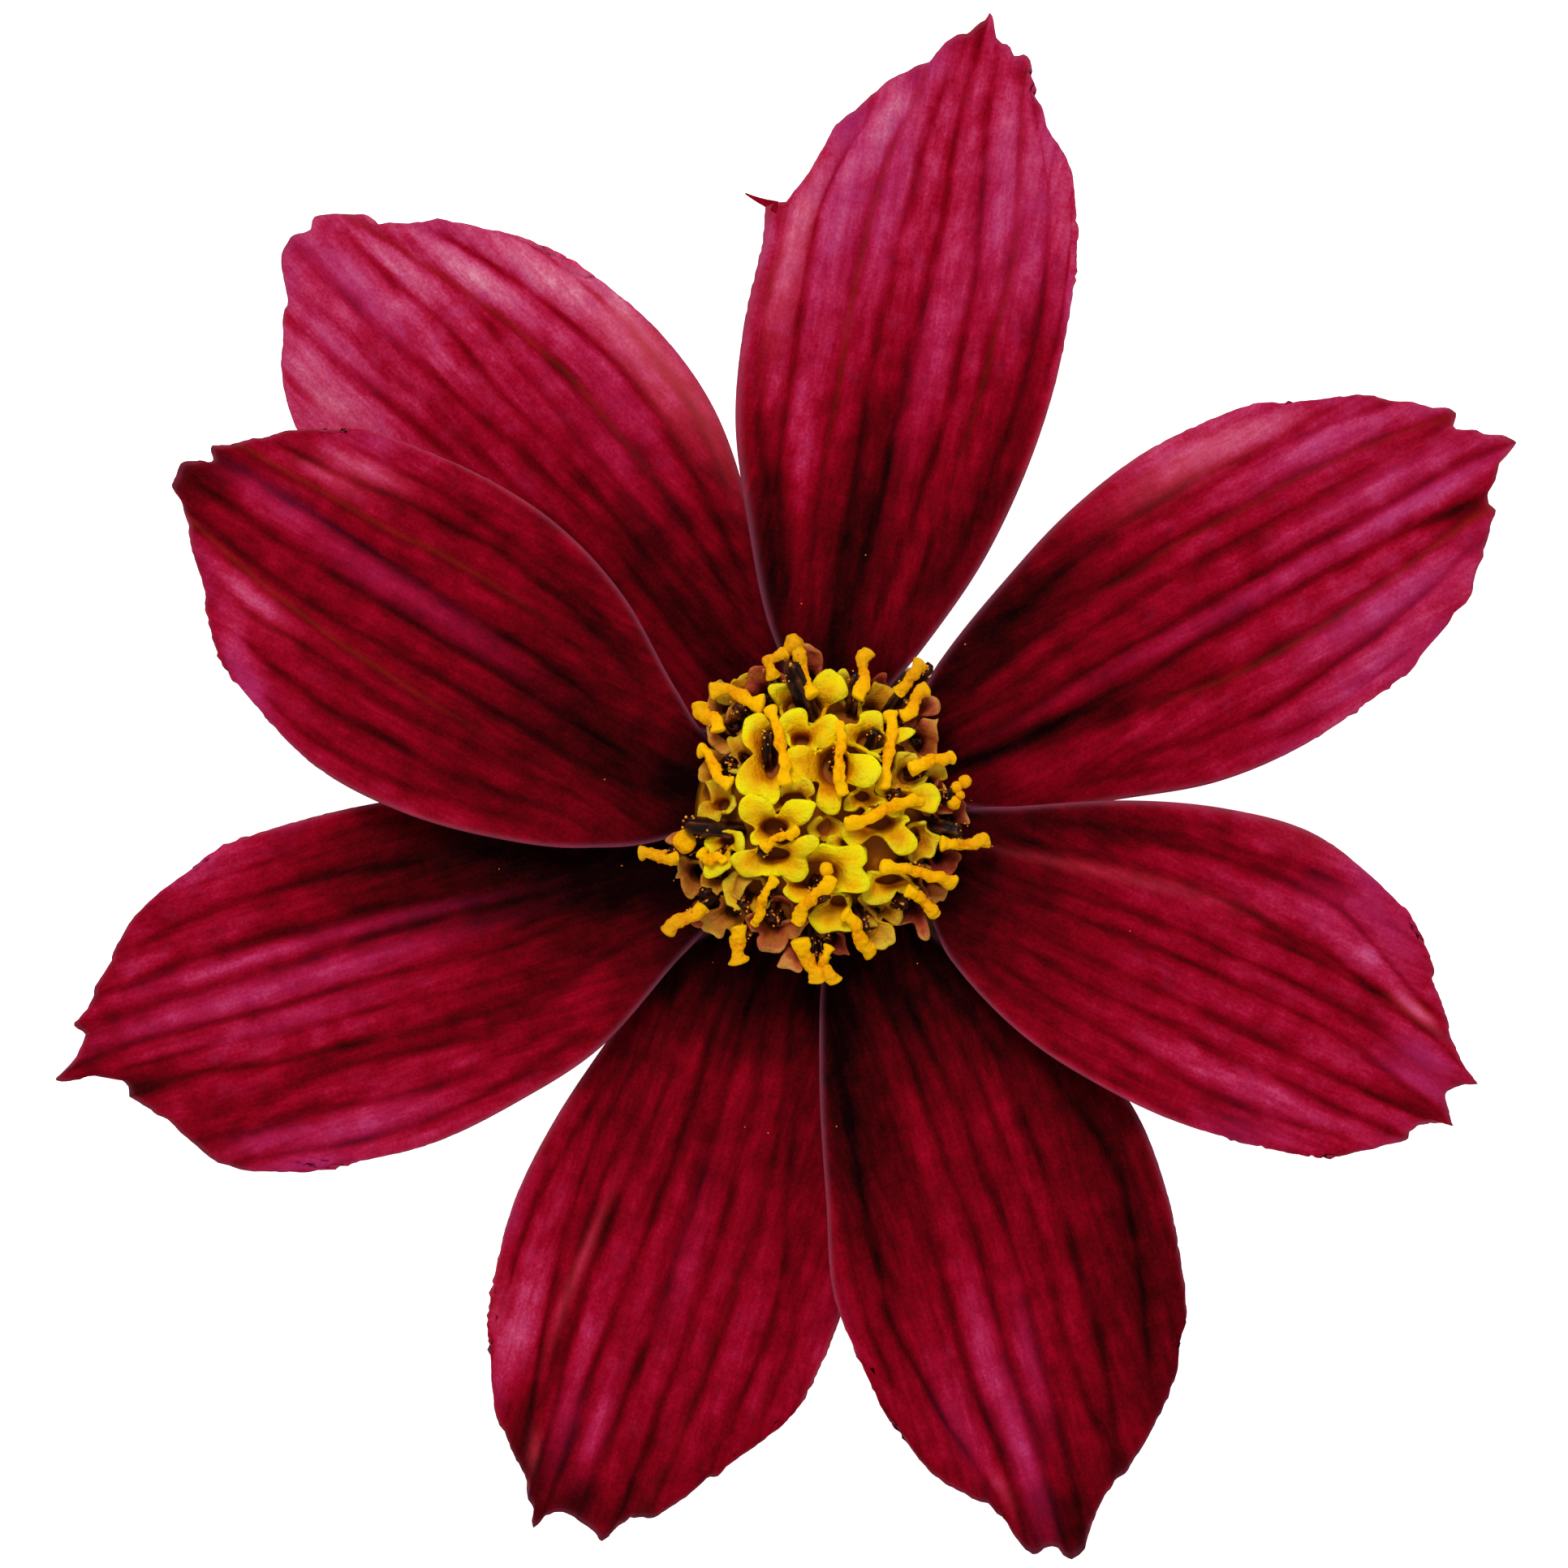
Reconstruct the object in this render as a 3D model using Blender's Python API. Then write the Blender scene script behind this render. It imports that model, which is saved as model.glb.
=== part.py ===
"""A threadleaf coreopsis flower head, nipped off under its bracts and lying face up.

Metres, +Z up. The flower's own axis is the Z axis, and z = 0 is the surface that it lies on.
Sizes below are in millimetres, and MM turns them into metres where a mesh gets its points.
Eight ray florets (the petals) stand with their claws in the ring between the disc and the cup
of inner bracts. "Left" and "right" of a ray are as seen from above with its tip pointing up.
"""

import math

import bmesh
import bpy
from mathutils import Vector

MM = 0.001

# Head, from the surface up. Solids that meet keep SEAT_GAP between them.
NECK_RADIUS = 1.5
NECK_TOP = 0.5
SHOULDER = (2.3, 0.95)
PLATE_RADIUS = 3.65
PLATE_UNDERSIDE = 1.35
BASE_TOP = 2.0
SEAT_GAP = 0.3
BLADE = 0.6
CORE_RADIUS = 2.7
CUP_INNER = PLATE_RADIUS + SEAT_GAP
CUP_FLOOR, CUP_RIM = 2.0, 3.0

# Ray florets
RAY_RING = 3.93
CLAW_RADIUS = 3.3
CLAW_HALF_WIDTH = 0.7
FOOT_HALF_WIDTH = 1.2
CLAW_TURN = (-0.3, 2.0)
RIBS = 8
RIB_HEIGHT = 0.1
COLUMNS = 2 * RIBS
LAMINA_ROWS = 11
TOOTH_POWER = 12
SPUR_REACH = 0.8
TIP_SOFTNESS = 0.12
SOFTNESS_STEPS = 6
CUP_REACH = 5.0
LOW, MIDDLE, HIGH = 4.7, 5.65, 6.6

# Distances out from the ray's foot at which its half-widths are given
STATIONS = (0, 2, 5, 8, 11, 14)

# root: bearing of the claw on the ring, aim: bearing of the lamina, both in degrees.
# left, right: half-widths at STATIONS. tip: the toothed end, from the left shoulder round
# to the right one, as (across, along). level: height of the foot. rise: how much higher
# the tip is. arch: crown between foot and tip. cup and roll: how far the margins stand
# above the middle, and the right margin above the left, at 5 mm from the midline.
# spur: which point of the tip is a thin hook that stands off the margin.
RAYS = {
    "a": dict(
        root=80, aim=78.6, level=MIDDLE, rise=0.5, arch=0.5, cup=0.0, roll=-0.15,
        left=(1.3, 2.7, 3.95, 4.95, 5.3, 5.25),
        right=(1.3, 2.4, 3.7, 4.5, 4.9, 4.9),
        tip=(
            (-5.2, 14.9), (-6.1, 15.3), (-4.9, 15.2), (-4.3, 16.0), (-3.95, 17.1),
            (-3.35, 18.5), (-2.0, 20.0), (-1.2, 20.55), (-0.6, 21.6), (0.1, 22.05),
            (0.55, 22.6), (0.8, 21.8), (1.65, 21.35), (2.0, 21.5), (2.35, 20.35),
            (3.7, 18.65), (4.65, 16.0),
        ),
        spur=1,
    ),
    "b": dict(
        root=25, aim=28.6, level=LOW, rise=1.0, arch=0.5, cup=-0.25, roll=0.0,
        left=(1.5, 2.7, 3.95, 4.95, 5.45, 5.3),
        right=(1.4, 2.6, 4.0, 5.0, 5.3, 5.0),
        tip=(
            (-4.7, 15.6), (-4.2, 17.0), (-3.0, 19.0), (-1.75, 20.5), (-1.35, 20.2),
            (-1.05, 20.85), (0.0, 21.8), (0.35, 20.9), (1.1, 20.1), (1.55, 20.1),
            (2.7, 18.9), (3.8, 17.7), (4.7, 15.7),
        ),
    ),
    "c": dict(
        root=-18, aim=-24.9, level=HIGH, rise=0.3, arch=0.3, cup=0.2, roll=0.0,
        left=(1.4, 2.6, 4.2, 5.3, 5.75, 5.0),
        right=(1.4, 2.85, 4.05, 4.5, 4.5, 3.9),
        tip=(
            (-4.4, 15.0), (-3.7, 16.0), (-2.9, 16.4), (-1.9, 17.4), (-1.2, 18.2),
            (-0.65, 19.1), (0.07, 18.35), (0.4, 18.5), (0.87, 19.0), (0.95, 18.2),
            (1.95, 17.7), (2.65, 16.95), (3.5, 15.8), (3.55, 15.0),
        ),
    ),
    "d": dict(
        root=-68, aim=-72.2, level=MIDDLE, rise=-0.2, arch=0.4, cup=0.0, roll=0.15,
        left=(1.5, 2.9, 5.2, 6.55, 6.8, 6.45),
        right=(1.3, 2.05, 3.0, 3.75, 4.45, 4.2),
        tip=(
            (-6.0, 15.5), (-5.2, 17.0), (-3.35, 19.0), (-2.4, 19.4), (-1.2, 20.55),
            (-0.85, 21.25), (-0.3, 21.5), (0.0, 20.95), (0.6, 20.85), (0.95, 21.0),
            (1.35, 19.9), (2.0, 19.0), (3.35, 17.05), (4.0, 15.25),
        ),
    ),
    "e": dict(
        root=-110, aim=-107.8, level=LOW, rise=0.2, arch=0.5, cup=-0.25, roll=0.0,
        left=(1.3, 2.6, 4.2, 5.3, 5.85, 5.6),
        right=(1.3, 2.6, 3.95, 4.85, 5.3, 5.1),
        tip=(
            (-5.0, 15.5), (-3.85, 17.0), (-3.2, 18.0), (-2.3, 19.3), (-1.4, 19.5),
            (-0.7, 20.55), (0.0, 20.3), (0.65, 20.1), (1.35, 20.75), (1.65, 20.2),
            (2.55, 19.05), (3.7, 17.9), (4.7, 15.6),
        ),
    ),
    "f": dict(
        root=203, aim=197.4, level=MIDDLE, rise=0.3, arch=0.4, cup=0.0, roll=-0.15,
        left=(1.6, 2.9, 4.7, 5.55, 6.0, 5.8),
        right=(1.4, 2.6, 3.9, 4.75, 5.15, 5.2),
        tip=(
            (-5.45, 15.8), (-4.6, 17.7), (-3.1, 18.65), (-1.75, 19.8), (-1.25, 19.85),
            (-0.6, 21.0), (-0.45, 22.1), (0.07, 21.25), (0.75, 20.7), (1.1, 21.0),
            (1.4, 20.35), (3.0, 19.05), (3.95, 18.0), (4.8, 15.8),
        ),
    ),
    "g": dict(
        root=161, aim=150.3, level=HIGH, rise=0.9, arch=0.3, cup=0.2, roll=0.0,
        left=(2.0, 3.8, 5.1, 5.8, 5.85, 4.95),
        right=(1.2, 2.0, 3.8, 4.75, 4.9, 4.5),
        tip=(
            (-4.4, 15.0), (-3.0, 16.7), (-1.35, 18.25), (-0.85, 18.55), (-0.3, 19.3),
            (0.5, 19.5), (1.0, 18.75), (1.35, 18.9), (2.0, 18.15), (3.25, 17.0),
            (4.15, 15.0),
        ),
    ),
    "h": dict(
        root=122, aim=132.9, level=LOW, rise=0.2, arch=0.4, cup=-0.25, roll=0.0,
        left=(1.4, 2.7, 4.3, 5.5, 5.9, 5.7),
        right=(1.4, 2.7, 4.5, 5.8, 6.2, 5.9),
        tip=(
            (-4.9, 15.5), (-4.2, 17.0), (-3.5, 18.5), (-2.6, 19.6), (-2.0, 20.1),
            (-1.3, 21.0), (-0.3, 21.5), (0.7, 21.55), (1.35, 21.1), (1.8, 20.2),
            (2.5, 19.4), (4.0, 17.6), (5.0, 15.6),
        ),
    ),
}

# Disc: a core that widens into a dome over the feet of the rays
DOME_UNDERSIDE = 7.3
DOME_TOP = 8.6
DOME_SAG = 0.085
DOME_EDGE = 3.9
DOME_RINGS = 5
FLORETS = 31
FLORET_SPREAD = 3.5
GOLDEN_ANGLE = 137.508
FIRST_FLORET = 40
LEAN = 0.16
COROLLA_LOBES = 5
COROLLA_SIZES = (0.92, 1.02, 1.12)

# Height over the floret's foot, radius at a lobe and radius between lobes
COROLLA_SECTIONS = (
    (-0.4, 0.30, 0.30),
    (0.8, 0.78, 0.46),
    (0.7, 0.44, 0.30),
    (0.35, 0.16, 0.16),
)

# Ripe style branches seen on the disc: (x, y) of one end, of the middle and of the other end
STYLE_KNOB, STYLE_WAIST = 0.48, 0.36
STYLE_CLEARANCE = 1.25
STYLE_DROOP = 0.1
STYLE_LOWEST = 7.6
STYLE_DOME_EDGE = 4.6
ANTHER_TUBE = 0.44
ANTHER_TUBE_TOP = 0.8
ANTHER_ROOT = 0.5
ANTHER_INSET = 0.8
ANTHER_SPREAD = 3.5
STYLES = (
    ((-0.7, 5.7), (-1.35, 5.2), (-1.4, 4.6)),
    ((-0.65, 5.5), (-0.45, 4.7), (-0.1, 3.8)),
    ((1.75, 5.35), (1.55, 4.6), (1.25, 3.75)),
    ((3.45, 4.95), (3.05, 4.45), (2.6, 3.9)),
    ((3.65, 4.1), (3.2, 3.65), (2.7, 3.15)),
    ((-3.45, 4.0), (-2.5, 3.95), (-1.6, 3.6)),
    ((-3.7, 3.65), (-3.45, 3.15), (-3.1, 2.65)),
    ((-3.75, 2.15), (-3.25, 1.6), (-2.65, 1.0)),
    ((-1.45, 3.55), (-1.1, 2.3), (-0.95, 0.9)),
    ((0.7, 3.05), (0.75, 1.9), (0.9, 0.6)),
    ((2.4, 3.4), (2.35, 2.1), (2.15, 0.8)),
    ((2.95, 1.45), (3.6, 1.75), (4.45, 1.9)),
    ((4.35, 0.95), (4.5, 0.7), (4.75, 0.4)),
    ((0.85, -0.25), (2.1, 0.15), (3.5, 0.5)),
    ((3.95, -0.9), (4.8, -0.95), (5.6, -0.7)),
    ((2.0, -1.6), (3.3, -1.8), (4.55, -2.15)),
    ((2.85, -2.35), (3.4, -2.7), (3.9, -3.25)),
    ((0.85, -3.05), (1.35, -3.75), (1.85, -4.45)),
    ((0.55, -1.9), (0.0, -2.5), (-0.6, -3.5)),
    ((-0.5, -3.9), (-0.2, -4.7), (0.05, -5.4)),
    ((0.4, -4.2), (0.3, -4.9), (0.65, -5.45)),
    ((-1.25, -1.95), (-1.75, -2.85), (-2.05, -3.3)),
    ((-2.5, -3.5), (-2.5, -4.1), (-2.4, -4.75)),
    ((-3.6, -2.85), (-4.2, -3.3), (-4.8, -3.85)),
    ((-5.7, -1.2), (-5.1, -1.3), (-4.4, -1.35)),
    ((-3.75, -1.2), (-3.3, -1.35), (-2.9, -1.5)),
    ((-0.5, -0.45), (-1.2, -0.7), (-1.75, -1.0)),
)

# Bracts. run: share of the length out from the root, height, and share of the half-width.
BRACTS = 8
KEEL = 0.12
OUTER_BRACT = dict(
    root=3.2, length=5.6, length_change=0.35, half_width=0.6, first_bearing=27.5, tip_lift=0.05, columns=2,
    run=(
        (-0.18, 1.3, 1.0), (0.0, 1.28, 1.0), (0.3, 1.3, 0.95), (0.6, 1.02, 0.85),
        (0.85, 0.58, 0.7), (1.0, 0.22, 0.42),
    ),
)
INNER_BRACT = dict(
    root=CUP_INNER + BLADE / 2, length=2.05, length_change=0.0, half_width=1.35, first_bearing=5,
    tip_lift=0.0, columns=3,
    run=(
        (0.02, 2.4, 0.95), (0.06, 2.75, 1.0), (0.17, 3.1, 1.0), (0.44, 3.35, 0.92),
        (0.73, 3.5, 0.7), (1.0, 3.5, 0.3),
    ),
)

COLOURS = {
    "petal_crimson": ((0.30, 0.004, 0.030), 0.55),
    "floret_yellow": ((0.80, 0.56, 0.010), 0.50),
    "bract_olive": ((0.24, 0.17, 0.060), 0.60),
    "bract_green": ((0.10, 0.22, 0.045), 0.60),
}


def clear_scene():
    for obj in list(bpy.data.objects):
        bpy.data.objects.remove(obj)


def make_materials():
    made = {}
    for name, (colour, roughness) in COLOURS.items():
        material = bpy.data.materials.new(name)
        material.use_nodes = True
        shader = material.node_tree.nodes["Principled BSDF"]
        shader.inputs["Base Color"].default_value = (*colour, 1.0)
        shader.inputs["Roughness"].default_value = roughness
        shader.inputs["Metallic"].default_value = 0.0
        made[name] = material
    return made


def add_object(name, bm, material=None, collection=None):
    """A new object with this mesh, whose points are in millimetres until now."""
    bmesh.ops.recalc_face_normals(bm, faces=bm.faces)
    bmesh.ops.scale(bm, vec=(MM, MM, MM), verts=bm.verts)
    mesh = bpy.data.meshes.new(name)
    bm.to_mesh(mesh)
    bm.free()
    if material:
        mesh.materials.append(material)
    obj = bpy.data.objects.new(name, mesh)
    (collection or bpy.context.scene.collection).objects.link(obj)
    return obj


def add_blade(name, bm, material=None, collection=None):
    """A new blade whose middle is this sheet, split into triangles alike on both faces."""
    bmesh.ops.triangulate(bm, faces=bm.faces, quad_method="FIXED")
    blade = add_object(name, bm, material, collection)
    thicken = blade.modifiers.new("blade", "SOLIDIFY")
    thicken.thickness = BLADE * MM
    thicken.offset = 0.0
    return blade


def polar(bearing, out=1.0, height=0.0):
    """A point, or a direction, at a bearing in radians."""
    return Vector((out * math.cos(bearing), out * math.sin(bearing), height))


def smooth_step(value, low, high):
    share = min(1.0, max(0.0, (value - low) / (high - low)))
    return share * share * (3 - 2 * share)


def curve_through(places, values, at):
    """The value at a place, on a smooth curve through the given ones."""
    count = len(places)
    i = max(0, min(count - 2, next((k for k in range(count - 1) if at <= places[k + 1]), count - 2)))
    span = places[i + 1] - places[i]
    share = (at - places[i]) / span

    def slope(k):
        before, after = max(0, k - 1), min(count - 1, k + 1)
        return (values[after] - values[before]) / (places[after] - places[before])

    square, cube = share**2, share**3
    return (
        (2 * cube - 3 * square + 1) * values[i]
        + (cube - 2 * square + share) * span * slope(i)
        + (3 * square - 2 * cube) * values[i + 1]
        + (cube - square) * span * slope(i + 1)
    )


def along_points(points, share):
    """The point at a share of the length of a run of points."""
    lengths = [(b - a).length for a, b in zip(points, points[1:])]
    left = share * sum(lengths)
    for a, b, length in zip(points, points[1:], lengths):
        if left <= length:
            return a.lerp(b, left / length)
        left -= length
    return points[-1].copy()


def side_point(ray, side, share):
    """A point on the left (-1) or right (1) margin, between foot and shoulder."""
    widths = ray["left"] if side < 0 else ray["right"]
    shoulder = ray["tip"][0] if side < 0 else ray["tip"][-1]
    along = share * shoulder[1]
    places = (*STATIONS, shoulder[1])
    return Vector((side * curve_through(places, (*widths, abs(shoulder[0])), along), along))


def tip_ends(ray):
    """For each column, where it ends on the toothed tip, and where on a soft mean of it."""
    real = [Vector(p) for p in ray["tip"]]
    plain = [p for i, p in enumerate(real) if i != ray.get("spur")]
    lengths = [(b - a).length for a, b in zip(real, real[1:])]
    ends = [along_points(real, i / COLUMNS) for i in range(COLUMNS + 1)]
    column = 0
    for k in range(1, len(real) - 1):
        nearest = round(sum(lengths[:k]) / sum(lengths) * COLUMNS)
        column = min(max(nearest, column + 1), COLUMNS - (len(real) - 1 - k))
        ends[column] = real[k]
    soft = []
    steps = range(-SOFTNESS_STEPS, SOFTNESS_STEPS + 1)
    for i in range(COLUMNS + 1):
        across = i / COLUMNS
        reach = min(TIP_SOFTNESS, across, 1 - across) / SOFTNESS_STEPS
        near = [along_points(plain, across + reach * k) for k in steps]
        soft.append(sum(near, Vector((0.0, 0.0))) / len(near))
    return list(zip(ends, soft))


def lamina_point(ray, across, share, tooth, soft_tip):
    """Where a point of the lamina lies in plan: a patch between foot, margins and tip.

    The teeth fade out towards the foot. One that reaches far out stays in the last row.
    """
    foot_left, foot_right = Vector((-ray["left"][0], 0.0)), Vector((ray["right"][0], 0.0))
    left, right = side_point(ray, -1, share), side_point(ray, 1, share)
    tip_left, tip_right = Vector(ray["tip"][0]), Vector(ray["tip"][-1])
    foot = foot_left.lerp(foot_right, across)
    corners = foot.lerp(tip_left.lerp(tip_right, across), share)
    point = foot.lerp(soft_tip, share) + left.lerp(right, across) - corners
    stands_out = tooth - soft_tip
    fade = share**TOOTH_POWER if stands_out.length < SPUR_REACH else float(share == 1)
    return point + stands_out * fade


def lamina_height(ray, across, share, point):
    """Height of the middle of the blade: its bow, its cupping and its ribs."""
    length = max(p[1] for p in ray["tip"])
    out = min(1.0, point.y / length)
    open_blade = smooth_step(share, 0.0, 0.3)
    sideways = point.x / CUP_REACH
    ribs = -RIB_HEIGHT * math.cos(2 * math.pi * RIBS * across)
    ribs *= smooth_step(min(across, 1 - across), 0.0, 0.1) * open_blade * (1 - 0.5 * share)
    bow = ray["rise"] * out**1.5 + ray["arch"] * math.sin(math.pi * out)
    return ray["level"] + bow + open_blade * (ray["cup"] * sideways**2 + ray["roll"] * sideways) + ribs


def place_ray_point(ray, x, y, z):
    """From the ray's own plan to the head: the claw faces outwards, the lamina follows its aim."""
    root = math.radians(ray["root"])
    turn = smooth_step(y, *CLAW_TURN)
    bearing = root + (math.radians(ray["aim"]) - root) * turn
    rightwards = bearing - math.pi / 2
    return polar(root, RAY_RING) + polar(bearing, y) + polar(rightwards, x, z)


def claw_path(ray):
    """(along, height) of the claw, from its seat up to where it has bent outwards."""
    bend = RAY_RING - CLAW_RADIUS
    half_way = bend * math.sqrt(0.5)
    return [
        (-bend, BASE_TOP + SEAT_GAP),
        (-bend, ray["level"] - bend),
        (-half_way, ray["level"] - bend + half_way),
    ]


def make_ray(letter, ray, material):
    """One ray floret: a ribbed blade with a toothed tip, and the claw that it stands on."""
    claw = claw_path(ray)
    ends = tip_ends(ray)
    rows = len(claw) + LAMINA_ROWS
    bm = bmesh.new()
    bmesh.ops.create_grid(bm, x_segments=COLUMNS, y_segments=rows, size=1.0)
    for vert in bm.verts:
        across = (vert.co.x + 1) / 2
        row = round((vert.co.y + 1) / 2 * rows)
        if row < len(claw):
            y, z = claw[row]
            widen = smooth_step(row, 1, len(claw))
            half = CLAW_HALF_WIDTH + widen * (FOOT_HALF_WIDTH - CLAW_HALF_WIDTH)
            x = vert.co.x * half
        else:
            share = (row - len(claw)) / LAMINA_ROWS
            point = lamina_point(ray, across, share, *ends[round(across * COLUMNS)])
            x, y = point
            z = lamina_height(ray, across, share, point)
        vert.co = place_ray_point(ray, x, y, z)
    return add_blade(f"ray_floret_{letter}", bm, material)


def turned_mesh(profile, steps, closed=False):
    """A solid turned about Z from (radius, height) points: a run from axis to axis, or a loop."""
    bm = bmesh.new()
    verts = [bm.verts.new((radius, 0.0, height)) for radius, height in profile]
    pairs = list(zip(verts, verts[1:]))
    if closed:
        pairs.append((verts[-1], verts[0]))
    edges = [bm.edges.new(pair) for pair in pairs]
    whole_turn = dict(axis=(0, 0, 1), cent=(0, 0, 0), angle=2 * math.pi, use_merge=True)
    bmesh.ops.spin(bm, geom=verts + edges, steps=steps, **whole_turn)
    bmesh.ops.remove_doubles(bm, verts=bm.verts, dist=0.001)
    return bm


def add_ring(bm, centre, direction, radii):
    """The edges of a ring of points round a centre, square to a direction, one point a radius."""
    turn = direction.to_track_quat("Z", "Y")
    points = []
    for i, radius in enumerate(radii):
        points.append(bm.verts.new(centre + turn @ polar(2 * math.pi * i / len(radii), radius)))
    return [bm.edges.new((points[i - 1], points[i])) for i in range(len(points))]


def close_rings(bm, rings):
    """Bridges each ring of edges to the next, and caps the first and the last."""
    for low, high in zip(rings, rings[1:]):
        bmesh.ops.bridge_loops(bm, edges=low + high)
    for end in (rings[0], rings[-1]):
        bmesh.ops.contextual_create(bm, geom=end)
    return bm


def rod_mesh(points, thicknesses, sides=4):
    """A bent rod through points, as thick at each as given."""
    bm = bmesh.new()
    rings = []
    for i, point in enumerate(points):
        ahead = points[min(i + 1, len(points) - 1)] - points[max(i - 1, 0)]
        rings.append(add_ring(bm, point, ahead, [thicknesses[i] / 2] * sides))
    return close_rings(bm, rings)


def dome_height(out):
    return DOME_TOP - DOME_SAG * out * out


def dome_direction(foot):
    """The way that a floret leans on the dome: a little outwards."""
    return Vector((foot.x * LEAN, foot.y * LEAN, 1.0)).normalized()


def corolla_mesh(index):
    """A disc floret: a five-lobed cup on a narrow tube sunk into the dome, on a seed head's spiral."""
    out = FLORET_SPREAD * math.sqrt((index + 0.5) / FLORETS)
    foot = polar(math.radians(GOLDEN_ANGLE * index + FIRST_FLORET), out, dome_height(out))
    direction = dome_direction(foot)
    size = COROLLA_SIZES[index % len(COROLLA_SIZES)]
    bm = bmesh.new()
    rings = []
    for height, lobe, between in COROLLA_SECTIONS:
        radii = [size * radius for radius in (between, lobe) * COROLLA_LOBES]
        rings.append(add_ring(bm, foot + direction * height * size, direction, radii))
    return close_rings(bm, rings)


def style_point(place, droop=0.0):
    """A point of a style, as high over the dome as styles stand."""
    out = min(math.hypot(*place), STYLE_DOME_EDGE)
    return Vector((*place, max(dome_height(out) + STYLE_CLEARANCE - droop, STYLE_LOWEST)))


def style_arms_mesh(ends):
    """The two spread branches of one style, knobbed at their ends and where they part."""
    droops = (STYLE_DROOP, 0.0, STYLE_DROOP)
    first, middle, last = (style_point(end, droop) for end, droop in zip(ends, droops))
    points = [first, first.lerp(middle, 0.5), middle, middle.lerp(last, 0.5), last]
    return rod_mesh(points, [STYLE_KNOB, STYLE_WAIST, STYLE_KNOB, STYLE_WAIST, STYLE_KNOB])


def anther_tube_mesh(ends):
    """The anther tube that a style grows out of, rooted in the dome, and the style up to its fork."""
    fork = style_point(ends[1])
    out = fork.xy.length
    foot_out = min(out * ANTHER_INSET, ANTHER_SPREAD)
    foot = polar(math.atan2(fork.y, fork.x), foot_out, dome_height(foot_out) - ANTHER_ROOT)
    top = foot + dome_direction(foot) * (ANTHER_ROOT + ANTHER_TUBE_TOP)
    return rod_mesh([foot, top, fork], [ANTHER_TUBE, ANTHER_TUBE, STYLE_WAIST])


def make_disc(material):
    """The yellow disc: florets and style branches fused to the dome of the receptacle."""
    seat = BASE_TOP + SEAT_GAP
    outs = [DOME_EDGE * i / DOME_RINGS for i in range(DOME_RINGS, -1, -1)]
    profile = [(0.0, seat), (CORE_RADIUS, seat), (CORE_RADIUS, DOME_UNDERSIDE - 0.1)]
    profile += [(DOME_EDGE - 0.25, DOME_UNDERSIDE + 0.1), (DOME_EDGE, DOME_UNDERSIDE + 0.35)]
    profile += [(out, dome_height(out)) for out in outs[1:]]
    disc = add_object("disc_florets", turned_mesh(profile, steps=20), material)
    repeats = new_collection("disc_repeats")
    for index in range(FLORETS):
        add_object(f"corolla_{index}", corolla_mesh(index), collection=repeats)
    for index, ends in enumerate(STYLES):
        add_object(f"style_arms_{index}", style_arms_mesh(ends), collection=repeats)
        add_object(f"anther_tube_{index}", anther_tube_mesh(ends), collection=repeats)
    join_collection(disc, repeats)


def new_collection(name):
    collection = bpy.data.collections.new(name)
    bpy.context.scene.collection.children.link(collection)
    return collection


def join_collection(obj, collection):
    """Unites an object with all that a collection holds, and then removes the collection."""
    union = obj.modifiers.new("union", "BOOLEAN")
    union.operation = "UNION"
    union.operand_type = "COLLECTION"
    union.collection = collection
    bpy.context.view_layer.update()
    graph = bpy.context.evaluated_depsgraph_get()
    joined = bpy.data.meshes.new_from_object(obj.evaluated_get(graph))
    obj.modifiers.clear()
    obj.data = joined
    for part in list(collection.objects):
        bpy.data.objects.remove(part)
    bpy.data.collections.remove(collection)


def bract_sheet(bract, index):
    """The middle sheet of one bract of a whorl, with its margins a little above its keel."""
    bearing = math.radians(bract["first_bearing"] + 360 / BRACTS * index)
    length = bract["length"] + bract["length_change"] * math.sin(2.3 * index)
    lift = bract["tip_lift"] * (-1) ** index
    segments = len(bract["run"]) - 1
    bm = bmesh.new()
    bmesh.ops.create_grid(bm, x_segments=bract["columns"], y_segments=segments, size=1.0)
    for vert in bm.verts:
        share, height, width = bract["run"][round((vert.co.y + 1) / 2 * segments)]
        half = bract["half_width"] * width
        raised = height + lift * share**2 + KEEL * half * vert.co.x**2
        along = polar(bearing, bract["root"] + share * length)
        vert.co = along + polar(bearing - math.pi / 2, vert.co.x * half, raised)
    return bm


def add_bracts(obj, bract, name):
    """Fuses a whorl of bracts to an object."""
    repeats = new_collection(f"{name}_repeats")
    for index in range(BRACTS):
        add_blade(f"{name}_{index}", bract_sheet(bract, index), collection=repeats)
    join_collection(obj, repeats)


def make_base(material):
    """The green underside: the nipped neck, the receptacle plate and the narrow outer bracts."""
    profile = [
        (0.0, 0.0), (NECK_RADIUS, 0.0), (NECK_RADIUS + 0.1, NECK_TOP), SHOULDER,
        (PLATE_RADIUS, PLATE_UNDERSIDE), (PLATE_RADIUS, BASE_TOP), (0.0, BASE_TOP),
    ]
    base = add_object("base_with_outer_bracts", turned_mesh(profile, steps=24), material)
    add_bracts(base, OUTER_BRACT, "outer_bract")
    for vert in base.data.vertices:  # the tips of the outer bracts lie on the surface under the head
        vert.co.z = max(vert.co.z, 0.0)


def make_inner_bracts(material):
    """The cup of broad inner bracts, joined at their feet, that holds the claws from outside."""
    outer = CUP_INNER + BLADE
    wall = [(CUP_INNER, CUP_FLOOR), (outer, CUP_FLOOR), (outer, CUP_RIM), (CUP_INNER, CUP_RIM)]
    cup = add_object("inner_bracts", turned_mesh(wall, steps=32, closed=True), material)
    add_bracts(cup, INNER_BRACT, "inner_bract")


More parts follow.
